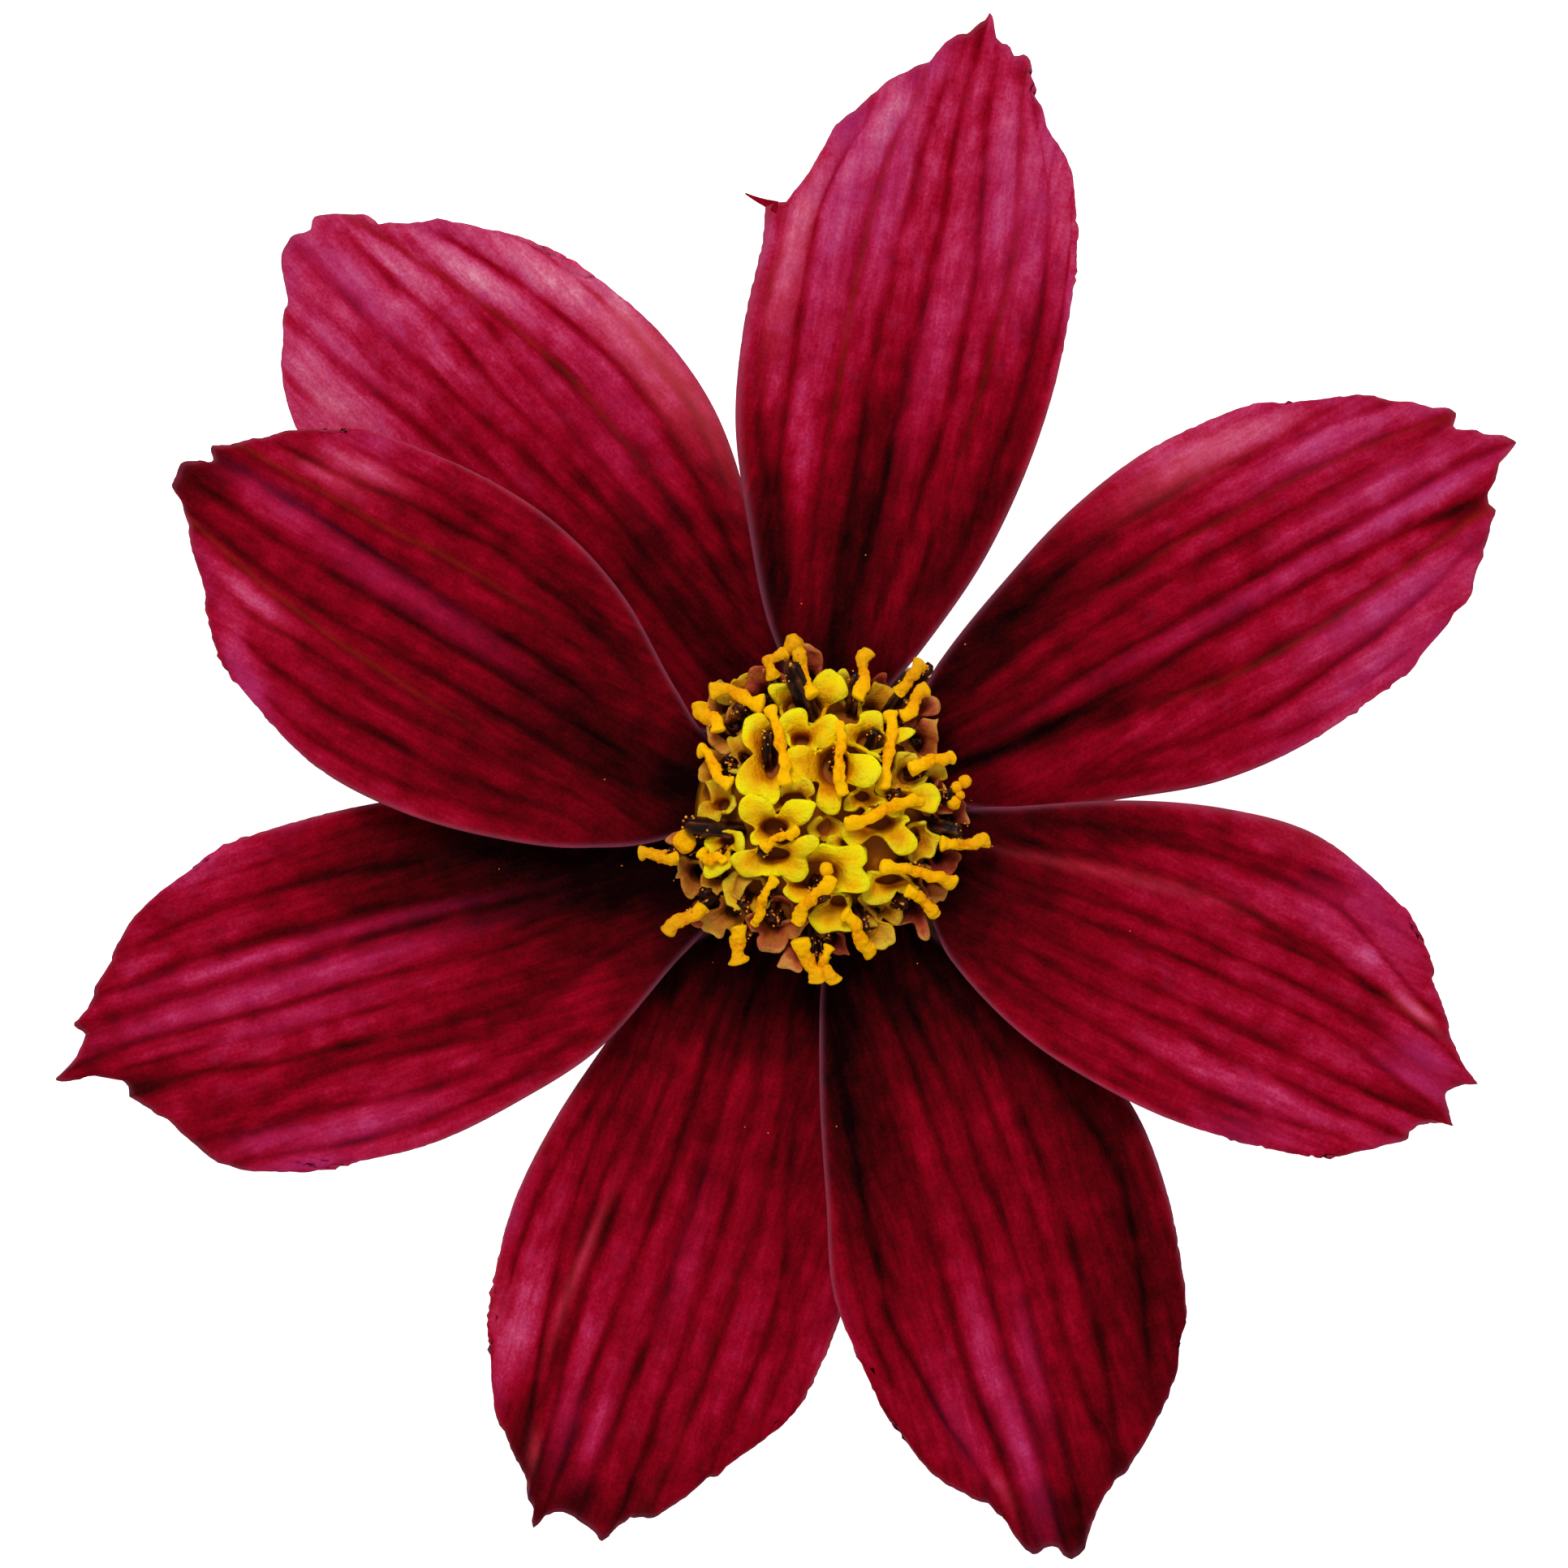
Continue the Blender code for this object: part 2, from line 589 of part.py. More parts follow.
def main():
    clear_scene()
    materials = make_materials()
    make_base(materials["bract_green"])
    make_inner_bracts(materials["bract_olive"])
    for letter, ray in RAYS.items():
        make_ray(letter, ray, materials["petal_crimson"])
    make_disc(materials["floret_yellow"])


main()
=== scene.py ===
import math
import random

import bmesh
import bpy
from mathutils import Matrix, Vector, noise
from mathutils.bvhtree import BVHTree


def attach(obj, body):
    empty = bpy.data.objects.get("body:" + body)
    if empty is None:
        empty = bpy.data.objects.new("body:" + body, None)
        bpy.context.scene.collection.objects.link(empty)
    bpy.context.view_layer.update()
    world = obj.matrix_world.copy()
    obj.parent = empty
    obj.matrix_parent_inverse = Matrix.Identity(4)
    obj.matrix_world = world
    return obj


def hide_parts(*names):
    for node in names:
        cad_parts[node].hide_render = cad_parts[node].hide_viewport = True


# Threadleaf coreopsis flower head, as picked, lying face up on its bracts.
# Sizes are in millimetres and become metres when a piece is finished.
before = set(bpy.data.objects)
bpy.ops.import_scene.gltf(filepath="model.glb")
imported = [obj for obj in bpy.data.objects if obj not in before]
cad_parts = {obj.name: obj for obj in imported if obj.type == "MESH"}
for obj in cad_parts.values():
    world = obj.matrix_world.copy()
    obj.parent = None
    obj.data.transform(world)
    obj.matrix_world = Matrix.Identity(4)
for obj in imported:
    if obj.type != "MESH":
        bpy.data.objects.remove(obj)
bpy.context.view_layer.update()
mm = 0.001
weld = 0.0005  # points nearer to each other than this are merged
noise.seed_set(5)  # the vector noise is the same in every run
print("frame loaded")


def smoothStep(value, lowEnd, highEnd):
    share = min(1.0, max(0.0, (value - lowEnd) / (highEnd - lowEnd)))
    return share * share * (3 - 2 * share)


def polar(bearing, out=1.0, height=0.0):
    return Vector((out * math.cos(bearing), out * math.sin(bearing), height))


def curveThrough(places, values, at):  # smooth curve through given values, level beyond its ends
    last = len(places) - 1
    at = min(max(at, places[0]), places[last])
    i = 0
    while i < last - 1 and at > places[i + 1]:
        i += 1
    span = places[i + 1] - places[i]
    share = (at - places[i]) / span

    def slope(k):
        before, after = max(0, k - 1), min(last, k + 1)
        return (values[after] - values[before]) / (places[after] - places[before])

    square, cube = share**2, share**3
    return ((2 * cube - 3 * square + 1) * values[i] + (cube - 2 * square + share) * span * slope(i)
            + (3 * square - 2 * cube) * values[i + 1] + (cube - square) * span * slope(i + 1))


def hexColour(code):  # sRGB hex to linear RGBA
    channels = [int(code[i:i + 2], 16) / 255 for i in (1, 3, 5)]
    linear = [c / 12.92 if c <= 0.04045 else ((c + 0.055) / 1.055) ** 2.4 for c in channels]
    return (*linear, 1.0)


def addNode(tree, kind, settings=None, inputs=None, stops=()):
    # a node with its settings, what feeds its inputs and, on a colour ramp, its stops
    node = tree.nodes.new(kind)
    for key, value in (settings or {}).items():
        setattr(node, key, value)
    for key, value in (inputs or {}).items():
        if isinstance(value, bpy.types.NodeSocket):
            tree.links.new(value, node.inputs[key])
        else:
            node.inputs[key].default_value = value
    for i, (position, code) in enumerate(stops):
        element = node.color_ramp.elements[i] if i < 2 else node.color_ramp.elements.new(position)
        element.position = position
        element.color = hexColour(code)
    return node


def newMaterial(name):
    material = bpy.data.materials.new(name)
    material.use_nodes = True
    tree = material.node_tree
    return material, tree, tree.nodes["Principled BSDF"]


def attributeOf(tree, name, output="Fac"):
    return addNode(tree, "ShaderNodeAttribute", dict(attribute_name=name)).outputs[output]


def objectCoords(tree):
    return addNode(tree, "ShaderNodeTexCoord").outputs["Object"]


def noiseOf(tree, vector, scale, detail=2.0, roughness=0.5):
    return addNode(tree, "ShaderNodeTexNoise", None, {"Vector": vector, "Scale": scale, "Detail": detail,
                                                      "Roughness": roughness}).outputs["Fac"]


def mathOf(tree, operation, *values, clamp=False):
    settings = dict(operation=operation, use_clamp=clamp)
    return addNode(tree, "ShaderNodeMath", settings, dict(enumerate(values))).outputs[0]


def rampOf(tree, share, stops):
    return addNode(tree, "ShaderNodeValToRGB", None, {"Fac": share}, stops).outputs["Color"]


def mixOf(tree, share, first, second):
    inputs = {"Factor": share, 6: first, 7: second}
    return addNode(tree, "ShaderNodeMix", dict(data_type="RGBA"), inputs).outputs[2]


def dress(tree, shader, colour, height=None, strength=0.0, depth=0.0):
    # the surface's colour, and its bump of a depth in millimetres
    tree.links.new(colour, shader.inputs["Base Color"])
    if height:
        inputs = {"Height": height, "Strength": strength, "Distance": depth * mm}
        bump = addNode(tree, "ShaderNodeBump", None, inputs)
        tree.links.new(bump.outputs[0], shader.inputs["Normal"])


def addSheet(bm, columns, rows, place, closed=False):
    verts = bmesh.ops.create_grid(bm, x_segments=columns, y_segments=rows, size=1.0)["verts"]
    for vert in verts:
        place(vert, (vert.co.x + 1) / 2, (vert.co.y + 1) / 2)
    if closed:
        bmesh.ops.remove_doubles(bm, verts=verts, dist=weld)
        faces = list({face for vert in verts if vert.is_valid for face in vert.link_faces})
        bmesh.ops.recalc_face_normals(bm, faces=faces)
    return verts


def spinProfile(bm, profile, closed=False):
    verts = [bm.verts.new((radius, 0.0, height)) for radius, height in profile]
    pairs = list(zip(verts, verts[1:])) + ([(verts[-1], verts[0])] if closed else [])
    edges = [bm.edges.new(pair) for pair in pairs]
    bmesh.ops.spin(bm, geom=verts + edges, axis=(0, 0, 1), cent=(0, 0, 0), angle=2 * math.pi,
                   steps=64, use_merge=True)
    bmesh.ops.remove_doubles(bm, verts=bm.verts, dist=weld)
    bmesh.ops.recalc_face_normals(bm, faces=bm.faces)


def finishPiece(name, bm, material, replaces=(), wall=0.0, levels=0):
    bmesh.ops.scale(bm, vec=(mm, mm, mm), verts=bm.verts)
    mesh = bpy.data.meshes.new(name)
    bm.to_mesh(mesh)
    bm.free()
    mesh.shade_smooth()
    mesh.materials.append(material)
    piece = bpy.data.objects.new(name, mesh)
    bpy.context.scene.collection.objects.link(piece)
    if wall:
        modifier = piece.modifiers.new("wall", "SOLIDIFY")
        modifier.thickness = wall * mm
        modifier.offset = 0.0
    if levels:
        modifier = piece.modifiers.new("smooth", "SUBSURF")
        modifier.levels = levels
        modifier.render_levels = levels
    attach(piece, "root")
    if replaces:
        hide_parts(*replaces)
    return piece


# Heights at which the rays leave the disc: some lie over their neighbours.
low, middle, high = 4.7, 5.65, 6.6
stations = (0, 2, 5, 8, 11, 14)  # along a ray from its foot
toneStations = (0.0, 0.12, 0.25, 0.4, 0.55, 0.7, 0.82, 0.92, 1.0)

# A cloud's change of tone is partly uneven pigment and partly painted light: lighter clouds are painted
# highlights where a blade faces the light, darker ones painted shadow under overlapping neighbours.
# Besides the pigment from dark foot to pink tip, the tone holds painted light: petals facing +Y, towards the
# light, are set lighter than those facing -Y.
# For each ray: bearings of its claw and blade, height and bow, half-widths at the stations, the
# toothed end as (across, along) from the left shoulder to the right one, and its colouring.
# tone: how light its ridges are at toneStations, from 0, near black, to 1, pale pink.
# veins: how deep, how brown, and the course as (along, across) shares of the blade.
# clouds: across, along, half-width, half-length, change of tone, and flush: under 0 purple, over 0 salmon.
# horn: x, y and half-width along the thin hook at one petal's shoulder.
petals = {
    "a": dict(
        root=80, aim=78.6, level=middle, rise=0.5, arch=0.5, cup=0.0, roll=-0.15,
        left=(1.3, 2.7, 3.95, 4.95, 5.3, 5.25), right=(1.3, 2.4, 3.7, 4.5, 4.9, 4.9),
        horn=((-5.0, 15.06, 0.2), (-5.4, 15.13, 0.12), (-5.75, 15.2, 0.07), (-6.1, 15.3, 0.02)),
        tip=(
            (-5.38, 15.0), (-5.06, 15.27), (-4.77, 15.3), (-4.5, 15.7), (-4.17, 16.55), (-3.72, 17.9),
            (-3.36, 18.55), (-3.13, 18.7), (-2.87, 18.97), (-2.33, 19.83), (-1.86, 20.11), (-1.48, 20.48),
            (-1.14, 20.56), (-0.93, 21.05), (-0.69, 21.42), (-0.44, 21.69), (-0.05, 21.81), (0.22, 22.22),
            (0.41, 22.37), (0.51, 22.64), (0.65, 22.35), (0.87, 21.81), (1.09, 21.65), (1.31, 21.69),
            (1.55, 21.38), (1.88, 21.51), (2.09, 21.35), (2.11, 21.0), (2.35, 20.69), (2.3, 20.41),
            (2.68, 20.0), (2.97, 19.43), (3.36, 18.98), (3.75, 18.63), (4.02, 18.21), (4.31, 17.47),
            (4.5, 16.71), (4.65, 16.0),
        ),
        tone=(0.1, 0.38, 0.46, 0.57, 0.65, 0.69, 0.73, 0.77, 0.73),
        veins=(
            (0.8, 0.0, ((0.2, 0.08), (0.4, 0.075), (0.55, 0.06), (0.7, 0.045), (0.98, 0.03))),
            (0.9, 0.1, ((0.2, 0.13), (0.35, 0.12), (0.5, 0.15), (0.65, 0.17), (0.8, 0.16), (0.9, 0.18),
                (0.97, 0.27))),
            (0.8, 0.8, ((0.15, 0.26), (0.3, 0.265), (0.4, 0.285), (0.55, 0.31), (0.7, 0.315), (0.85, 0.335),
                (0.9, 0.35), (0.97, 0.385))),
            (0.9, 0.0, ((0.1, 0.4), (0.45, 0.4), (0.6, 0.405), (0.75, 0.42), (0.88, 0.43), (0.98, 0.48))),
            (1.0, 0.0, ((0.2, 0.505), (0.4, 0.51), (0.7, 0.52), (0.85, 0.505), (0.93, 0.51),
                (0.99, 0.525))),
            (1.0, 0.0, ((0.2, 0.66), (0.35, 0.67), (0.5, 0.675), (0.6, 0.665), (0.7, 0.645), (0.8, 0.61),
                (0.87, 0.585), (0.98, 0.59))),
            (0.9, 0.6, ((0.2, 0.79), (0.35, 0.76), (0.6, 0.755), (0.75, 0.75), (0.83, 0.725), (0.9, 0.69),
                (0.97, 0.665))),
            (0.8, 0.0, ((0.3, 0.89), (0.5, 0.885), (0.68, 0.885), (0.78, 0.87), (0.87, 0.84), (0.93, 0.8),
                (0.97, 0.74))),
            (0.5, 0.0, ((0.4, 0.945), (0.6, 0.95), (0.8, 0.95), (0.95, 0.93))),
        ),
        clouds=(
            (0.1, 0.85, 0.045, 0.13, 0.12, 0.7), (0.33, 0.93, 0.03, 0.04, 0.2, -0.3),
            (0.24, 0.85, 0.06, 0.13, 0.06, -0.6), (0.37, 0.82, 0.03, 0.12, 0.06, -0.5),
            (0.68, 0.8, 0.05, 0.1, 0.06, -0.4), (0.8, 0.82, 0.05, 0.1, 0.05, -0.4),
            (0.58, 0.55, 0.04, 0.12, 0.08, -0.2), (0.2, 0.42, 0.05, 0.12, 0.1, 0.0),
            (0.46, 0.25, 0.1, 0.22, -0.22, 0.0), (0.9, 0.45, 0.1, 0.25, -0.2, 0.0),
            (0.05, 0.25, 0.08, 0.22, -0.25, 0.0), (0.72, 0.2, 0.05, 0.12, 0.04, 0.0),
        ),
    ),
    "b": dict(
        root=25, aim=28.6, level=low, rise=1.0, arch=0.5, cup=-0.25, roll=0.0,
        left=(1.5, 2.7, 3.95, 4.95, 5.45, 5.3), right=(1.4, 2.85, 4.0, 5.0, 5.3, 5.0),
        tip=(
            (-5.05, 15.0), (-4.6, 16.0), (-4.2, 17.0), (-3.8, 18.0), (-3.4, 18.6), (-3.0, 19.0),
            (-2.6, 19.6), (-2.25, 20.0), (-1.95, 20.4), (-1.75, 20.5), (-1.5, 20.25), (-1.25, 20.35),
            (-1.0, 20.75), (-0.7, 21.0), (-0.35, 21.5), (0.0, 21.8), (0.15, 21.4), (0.3, 21.0), (0.7, 20.6),
            (1.0, 20.15), (1.3, 20.0), (1.66, 20.1), (1.9, 19.8), (2.4, 19.35), (2.75, 19.0), (3.2, 18.5),
            (3.6, 18.1), (3.8, 17.8), (3.85, 17.4), (4.1, 17.0), (4.5, 16.0), (4.85, 15.0),
        ),
        tone=(0.1, 0.4, 0.48, 0.55, 0.6, 0.67, 0.72, 0.71, 0.67),
        veins=(
            (0.8, 0.0, ((0.32, 0.125), (0.45, 0.135), (0.6, 0.15), (0.71, 0.165), (0.77, 0.187),
                (0.83, 0.19), (0.92, 0.177))),
            (0.5, 0.0, ((0.55, 0.18), (0.7, 0.205), (0.83, 0.215), (0.97, 0.25))),
            (1.0, 0.6, ((0.2, 0.24), (0.32, 0.25), (0.46, 0.267), (0.6, 0.29), (0.7, 0.308), (0.8, 0.317),
                (0.88, 0.33), (0.97, 0.358))),
            (0.8, 0.1, ((0.1, 0.365), (0.25, 0.358), (0.43, 0.358), (0.6, 0.37), (0.74, 0.38),
                (0.95, 0.38))),
            (0.4, 0.0, ((0.55, 0.4), (0.7, 0.41), (0.85, 0.417), (0.96, 0.427))),
            (1.0, 0.0, ((0.15, 0.49), (0.3, 0.48), (0.6, 0.483), (0.75, 0.49), (0.88, 0.496),
                (0.98, 0.504))),
            (1.0, 0.0, ((0.05, 0.63), (0.2, 0.615), (0.35, 0.594), (0.5, 0.573), (0.65, 0.573),
                (0.79, 0.583), (0.9, 0.6), (0.99, 0.62))),
            (1.0, 0.9, ((0.25, 0.69), (0.4, 0.695), (0.55, 0.7), (0.68, 0.69), (0.79, 0.67), (0.87, 0.658),
                (0.96, 0.642))),
            (1.0, 0.0, ((0.3, 0.855), (0.43, 0.845), (0.57, 0.84), (0.66, 0.823), (0.73, 0.8),
                (0.84, 0.775), (0.92, 0.74), (0.97, 0.704))),
            (0.6, 0.0, ((0.25, 0.905), (0.4, 0.915), (0.57, 0.925), (0.75, 0.93), (0.9, 0.9))),
        ),
        clouds=(
            (0.11, 0.77, 0.045, 0.12, 0.14, 0.8), (0.27, 0.85, 0.04, 0.1, 0.07, -0.5),
            (0.44, 0.85, 0.03, 0.1, 0.05, -0.4), (0.53, 0.88, 0.02, 0.09, 0.08, -0.7),
            (0.53, 0.6, 0.02, 0.25, 0.06, -0.3), (0.73, 0.83, 0.035, 0.12, 0.08, -0.7),
            (0.88, 0.85, 0.06, 0.1, 0.02, -0.5), (0.1, 0.25, 0.13, 0.2, -0.35, 0.0),
            (0.63, 0.18, 0.04, 0.18, -0.3, 0.0), (0.8, 0.25, 0.07, 0.15, 0.06, 0.0),
            (0.6, 0.93, 0.03, 0.05, -0.15, 0.0), (0.31, 0.3, 0.04, 0.2, 0.05, 0.0),
        ),
    ),
    "c": dict(
        root=-18, aim=-24.9, level=high, rise=0.3, arch=0.3, cup=0.2, roll=0.0,
        left=(1.4, 2.6, 4.2, 5.3, 5.75, 5.0), right=(1.4, 2.85, 4.05, 4.5, 4.5, 3.9),
        tip=(
            (-4.4, 15.0), (-4.1, 15.5), (-3.75, 16.0), (-3.4, 16.3), (-3.1, 16.3), (-2.75, 16.75),
            (-2.45, 17.0), (-2.1, 17.4), (-1.9, 17.45), (-1.65, 17.7), (-1.4, 18.0), (-1.1, 18.3),
            (-0.85, 18.75), (-0.66, 19.1), (-0.5, 18.75), (-0.25, 18.45), (0.0, 18.3), (0.3, 18.4),
            (0.6, 18.65), (0.9, 19.0), (0.95, 18.6), (1.1, 18.15), (1.35, 17.9), (1.65, 17.75), (1.9, 17.8),
            (2.1, 17.5), (2.4, 17.2), (2.6, 17.0), (3.0, 16.4), (3.35, 16.0), (3.5, 15.5), (3.55, 15.0),
        ),
        tone=(0.08, 0.28, 0.46, 0.56, 0.6, 0.62, 0.65, 0.66, 0.61),
        veins=(
            (0.7, 0.0, ((0.3, 0.1), (0.42, 0.105), (0.55, 0.11), (0.67, 0.115), (0.8, 0.1))),
            (0.5, 0.0, ((0.4, 0.06), (0.55, 0.055), (0.7, 0.045))),
            (0.8, 0.0, ((0.35, 0.14), (0.53, 0.14), (0.67, 0.16), (0.78, 0.175), (0.86, 0.22),
                (0.93, 0.27))),
            (0.9, 0.0, ((0.15, 0.19), (0.25, 0.205), (0.37, 0.225), (0.5, 0.25), (0.63, 0.287),
                (0.74, 0.302), (0.8, 0.33), (0.9, 0.335))),
            (0.8, 0.1, ((0.6, 0.33), (0.7, 0.34), (0.8, 0.345), (0.9, 0.352), (0.96, 0.37))),
            (0.9, 0.0, ((0.2, 0.396), (0.32, 0.39), (0.45, 0.4), (0.57, 0.42), (0.7, 0.427), (0.81, 0.448),
                (0.92, 0.48))),
            (0.8, 0.0, ((0.25, 0.48), (0.37, 0.48), (0.5, 0.49), (0.6, 0.504), (0.7, 0.507), (0.81, 0.53),
                (0.88, 0.56), (0.97, 0.585))),
            (0.9, 0.0, ((0.25, 0.61), (0.43, 0.615), (0.53, 0.62), (0.67, 0.63), (0.75, 0.64),
                (0.83, 0.646), (0.98, 0.656))),
            (0.9, 0.0, ((0.25, 0.704), (0.45, 0.704), (0.56, 0.712), (0.7, 0.72), (0.83, 0.733),
                (0.96, 0.74))),
            (0.9, 0.0, ((0.16, 0.83), (0.25, 0.823), (0.41, 0.823), (0.53, 0.83), (0.66, 0.84),
                (0.81, 0.845), (0.91, 0.833))),
            (0.7, 0.0, ((0.2, 0.89), (0.4, 0.9), (0.6, 0.906), (0.76, 0.9))),
            (0.6, 0.0, ((0.45, 0.955), (0.7, 0.958))),
        ),
        clouds=(
            (0.315, 0.915, 0.02, 0.035, 0.28, 0.9), (0.245, 0.84, 0.035, 0.07, 0.16, -0.2),
            (0.2, 0.72, 0.035, 0.06, 0.08, -0.2), (0.13, 0.86, 0.04, 0.1, 0.05, -0.4),
            (0.04, 0.8, 0.04, 0.15, 0.05, 0.1), (0.45, 0.92, 0.04, 0.04, 0.06, -0.8),
            (0.53, 0.92, 0.02, 0.05, 0.04, -0.6), (0.79, 0.77, 0.035, 0.1, 0.1, -0.2),
            (0.78, 0.6, 0.03, 0.08, 0.08, 0.0), (0.42, 0.8, 0.03, 0.08, -0.06, 0.0),
            (0.62, 0.93, 0.03, 0.05, -0.2, 0.0), (0.93, 0.82, 0.05, 0.08, -0.06, -0.3),
            (0.6, 0.07, 0.15, 0.07, -0.12, 0.0), (0.08, 0.25, 0.06, 0.12, -0.18, 0.0),
            (0.27, 0.3, 0.02, 0.2, 0.06, 0.2),
        ),
    ),
    "d": dict(
        root=-68, aim=-72.2, level=middle, rise=-0.2, arch=0.4, cup=0.0, roll=0.15,
        left=(1.5, 2.9, 5.2, 6.55, 6.8, 6.45), right=(1.3, 2.05, 3.0, 3.75, 4.45, 4.2),
        tip=(
            (-6.2, 15.0), (-5.95, 15.5), (-5.65, 16.0), (-5.45, 16.6), (-5.2, 17.0), (-4.8, 17.5),
            (-4.3, 18.0), (-3.75, 18.55), (-3.2, 19.0), (-2.8, 19.4), (-2.4, 19.5), (-2.1, 19.75),
            (-1.7, 20.0), (-1.35, 20.5), (-0.95, 21.0), (-0.75, 21.35), (-0.45, 21.5), (-0.23, 21.55),
            (-0.05, 21.4), (0.05, 21.0), (0.25, 20.9), (0.5, 20.9), (0.7, 21.0), (0.9, 21.0), (1.1, 20.75),
            (1.2, 20.4), (1.35, 20.0), (1.35, 19.6), (1.6, 19.4), (1.75, 19.0), (2.2, 18.7), (2.5, 18.3),
            (2.85, 18.0), (3.15, 17.5), (3.45, 17.0), (3.6, 16.5), (3.75, 16.0), (4.0, 15.0),
        ),
        tone=(0.05, 0.19, 0.41, 0.49, 0.53, 0.56, 0.54, 0.51, 0.45),
        veins=(
            (0.8, 0.0, ((0.45, 0.14), (0.6, 0.125), (0.72, 0.14), (0.81, 0.167), (0.9, 0.19))),
            (0.9, 0.0, ((0.15, 0.19), (0.23, 0.22), (0.32, 0.25), (0.41, 0.29), (0.5, 0.307), (0.6, 0.306),
                (0.7, 0.302), (0.79, 0.3), (0.9, 0.315), (0.97, 0.335))),
            (0.7, 0.0, ((0.2, 0.333), (0.32, 0.354), (0.43, 0.375), (0.57, 0.38), (0.7, 0.385),
                (0.81, 0.38), (0.89, 0.36), (0.96, 0.33))),
            (0.9, 0.0, ((0.15, 0.44), (0.28, 0.454), (0.41, 0.47), (0.53, 0.463), (0.65, 0.458),
                (0.76, 0.452), (0.87, 0.458), (0.97, 0.47))),
            (0.9, 0.0, ((0.17, 0.552), (0.28, 0.562), (0.39, 0.573), (0.5, 0.562), (0.61, 0.552),
                (0.72, 0.54), (0.83, 0.525), (0.95, 0.52))),
            (0.9, 0.0, ((0.45, 0.695), (0.57, 0.6875), (0.64, 0.673), (0.72, 0.656), (0.83, 0.635),
                (0.94, 0.615))),
            (0.6, 0.0, ((0.2, 0.71), (0.35, 0.725), (0.48, 0.72))),
            (1.0, 0.0, ((0.15, 0.896), (0.28, 0.896), (0.39, 0.885), (0.5, 0.875), (0.61, 0.854),
                (0.7, 0.84), (0.79, 0.79), (0.86, 0.76), (0.93, 0.71))),
            (0.5, 0.0, ((0.3, 0.95), (0.6, 0.93), (0.85, 0.88))),
        ),
        clouds=(
            (0.565, 0.85, 0.025, 0.09, 0.2, -0.5), (0.6, 0.69, 0.025, 0.08, 0.14, -0.3),
            (0.625, 0.62, 0.02, 0.05, 0.1, 0.0), (0.66, 0.93, 0.03, 0.025, 0.16, 0.2),
            (0.72, 0.85, 0.04, 0.08, 0.12, -0.2), (0.485, 0.72, 0.02, 0.08, 0.1, -0.3),
            (0.1, 0.85, 0.14, 0.18, -0.18, 0.0), (0.2, 0.65, 0.1, 0.2, -0.12, 0.0),
            (0.06, 0.35, 0.12, 0.25, -0.3, 0.0), (0.87, 0.3, 0.12, 0.28, -0.3, 0.0),
            (0.9, 0.75, 0.1, 0.15, 0.0, 0.0), (0.5, 0.97, 0.1, 0.05, -0.14, 0.0),
            (0.34, 0.35, 0.03, 0.2, 0.05, 0.0), (0.63, 0.35, 0.03, 0.15, 0.04, 0.0),
        ),
    ),
    "e": dict(
        root=-110, aim=-107.8, level=low, rise=0.2, arch=0.5, cup=-0.25, roll=0.0,
        left=(1.3, 2.6, 4.2, 5.3, 5.85, 5.6), right=(1.3, 3.0, 4.0, 4.85, 5.3, 5.1),
        tip=(
            (-5.25, 15.0), (-4.95, 15.5), (-4.65, 16.0), (-4.25, 16.5), (-3.85, 17.0), (-3.7, 17.4),
            (-3.4, 17.6), (-3.1, 18.0), (-2.8, 18.5), (-2.4, 19.0), (-2.1, 19.4), (-1.7, 19.45),
            (-1.4, 19.5), (-1.25, 19.8), (-1.05, 20.05), (-0.9, 20.4), (-0.68, 20.6), (-0.5, 20.4),
            (-0.2, 20.25), (0.3, 20.15), (0.7, 20.05), (1.0, 20.15), (1.25, 20.35), (1.35, 20.65),
            (1.5, 20.8), (1.62, 20.6), (1.65, 20.25), (1.95, 20.0), (2.1, 19.6), (2.3, 19.3), (2.55, 19.0),
            (3.0, 18.6), (3.3, 18.2), (3.6, 18.0), (3.9, 17.5), (4.1, 17.0), (4.5, 16.0), (4.85, 15.0),
        ),
        tone=(0.05, 0.2, 0.46, 0.5, 0.56, 0.59, 0.58, 0.53, 0.45),
        veins=(
            (0.5, 0.0, ((0.55, 0.13), (0.65, 0.14), (0.75, 0.12), (0.89, 0.115))),
            (0.9, 0.0, ((0.36, 0.2), (0.48, 0.2), (0.61, 0.18), (0.75, 0.19), (0.9, 0.2))),
            (0.8, 0.2, ((0.2, 0.22), (0.28, 0.246), (0.39, 0.267), (0.5, 0.29), (0.61, 0.302),
                (0.74, 0.317), (0.87, 0.33), (0.98, 0.34))),
            (0.9, 0.0, ((0.2, 0.354), (0.32, 0.365), (0.43, 0.38), (0.55, 0.385), (0.68, 0.396),
                (0.81, 0.4), (0.97, 0.406))),
            (1.0, 0.0, ((0.1, 0.45), (0.2, 0.46), (0.32, 0.475), (0.46, 0.48), (0.59, 0.483), (0.72, 0.485),
                (0.86, 0.496), (0.97, 0.504))),
            (1.0, 0.0, ((0.12, 0.58), (0.2, 0.5875), (0.4, 0.5875), (0.6, 0.588), (0.79, 0.59),
                (0.92, 0.583))),
            (1.0, 0.0, ((0.19, 0.7125), (0.32, 0.71), (0.48, 0.704), (0.59, 0.698), (0.7, 0.6875),
                (0.79, 0.677), (0.89, 0.66), (0.97, 0.656))),
            (0.7, 0.0, ((0.21, 0.79), (0.34, 0.78), (0.48, 0.775), (0.59, 0.76), (0.67, 0.745),
                (0.76, 0.718), (0.85, 0.7))),
            (0.9, 0.0, ((0.17, 0.844), (0.25, 0.844), (0.41, 0.854), (0.5, 0.844), (0.61, 0.817),
                (0.7, 0.79), (0.81, 0.76), (0.91, 0.733))),
            (0.7, 0.0, ((0.37, 0.906), (0.5, 0.92), (0.66, 0.927), (0.8, 0.92))),
        ),
        clouds=(
            (0.84, 0.84, 0.055, 0.12, 0.2, 0.0), (0.92, 0.95, 0.06, 0.06, 0.14, 0.2),
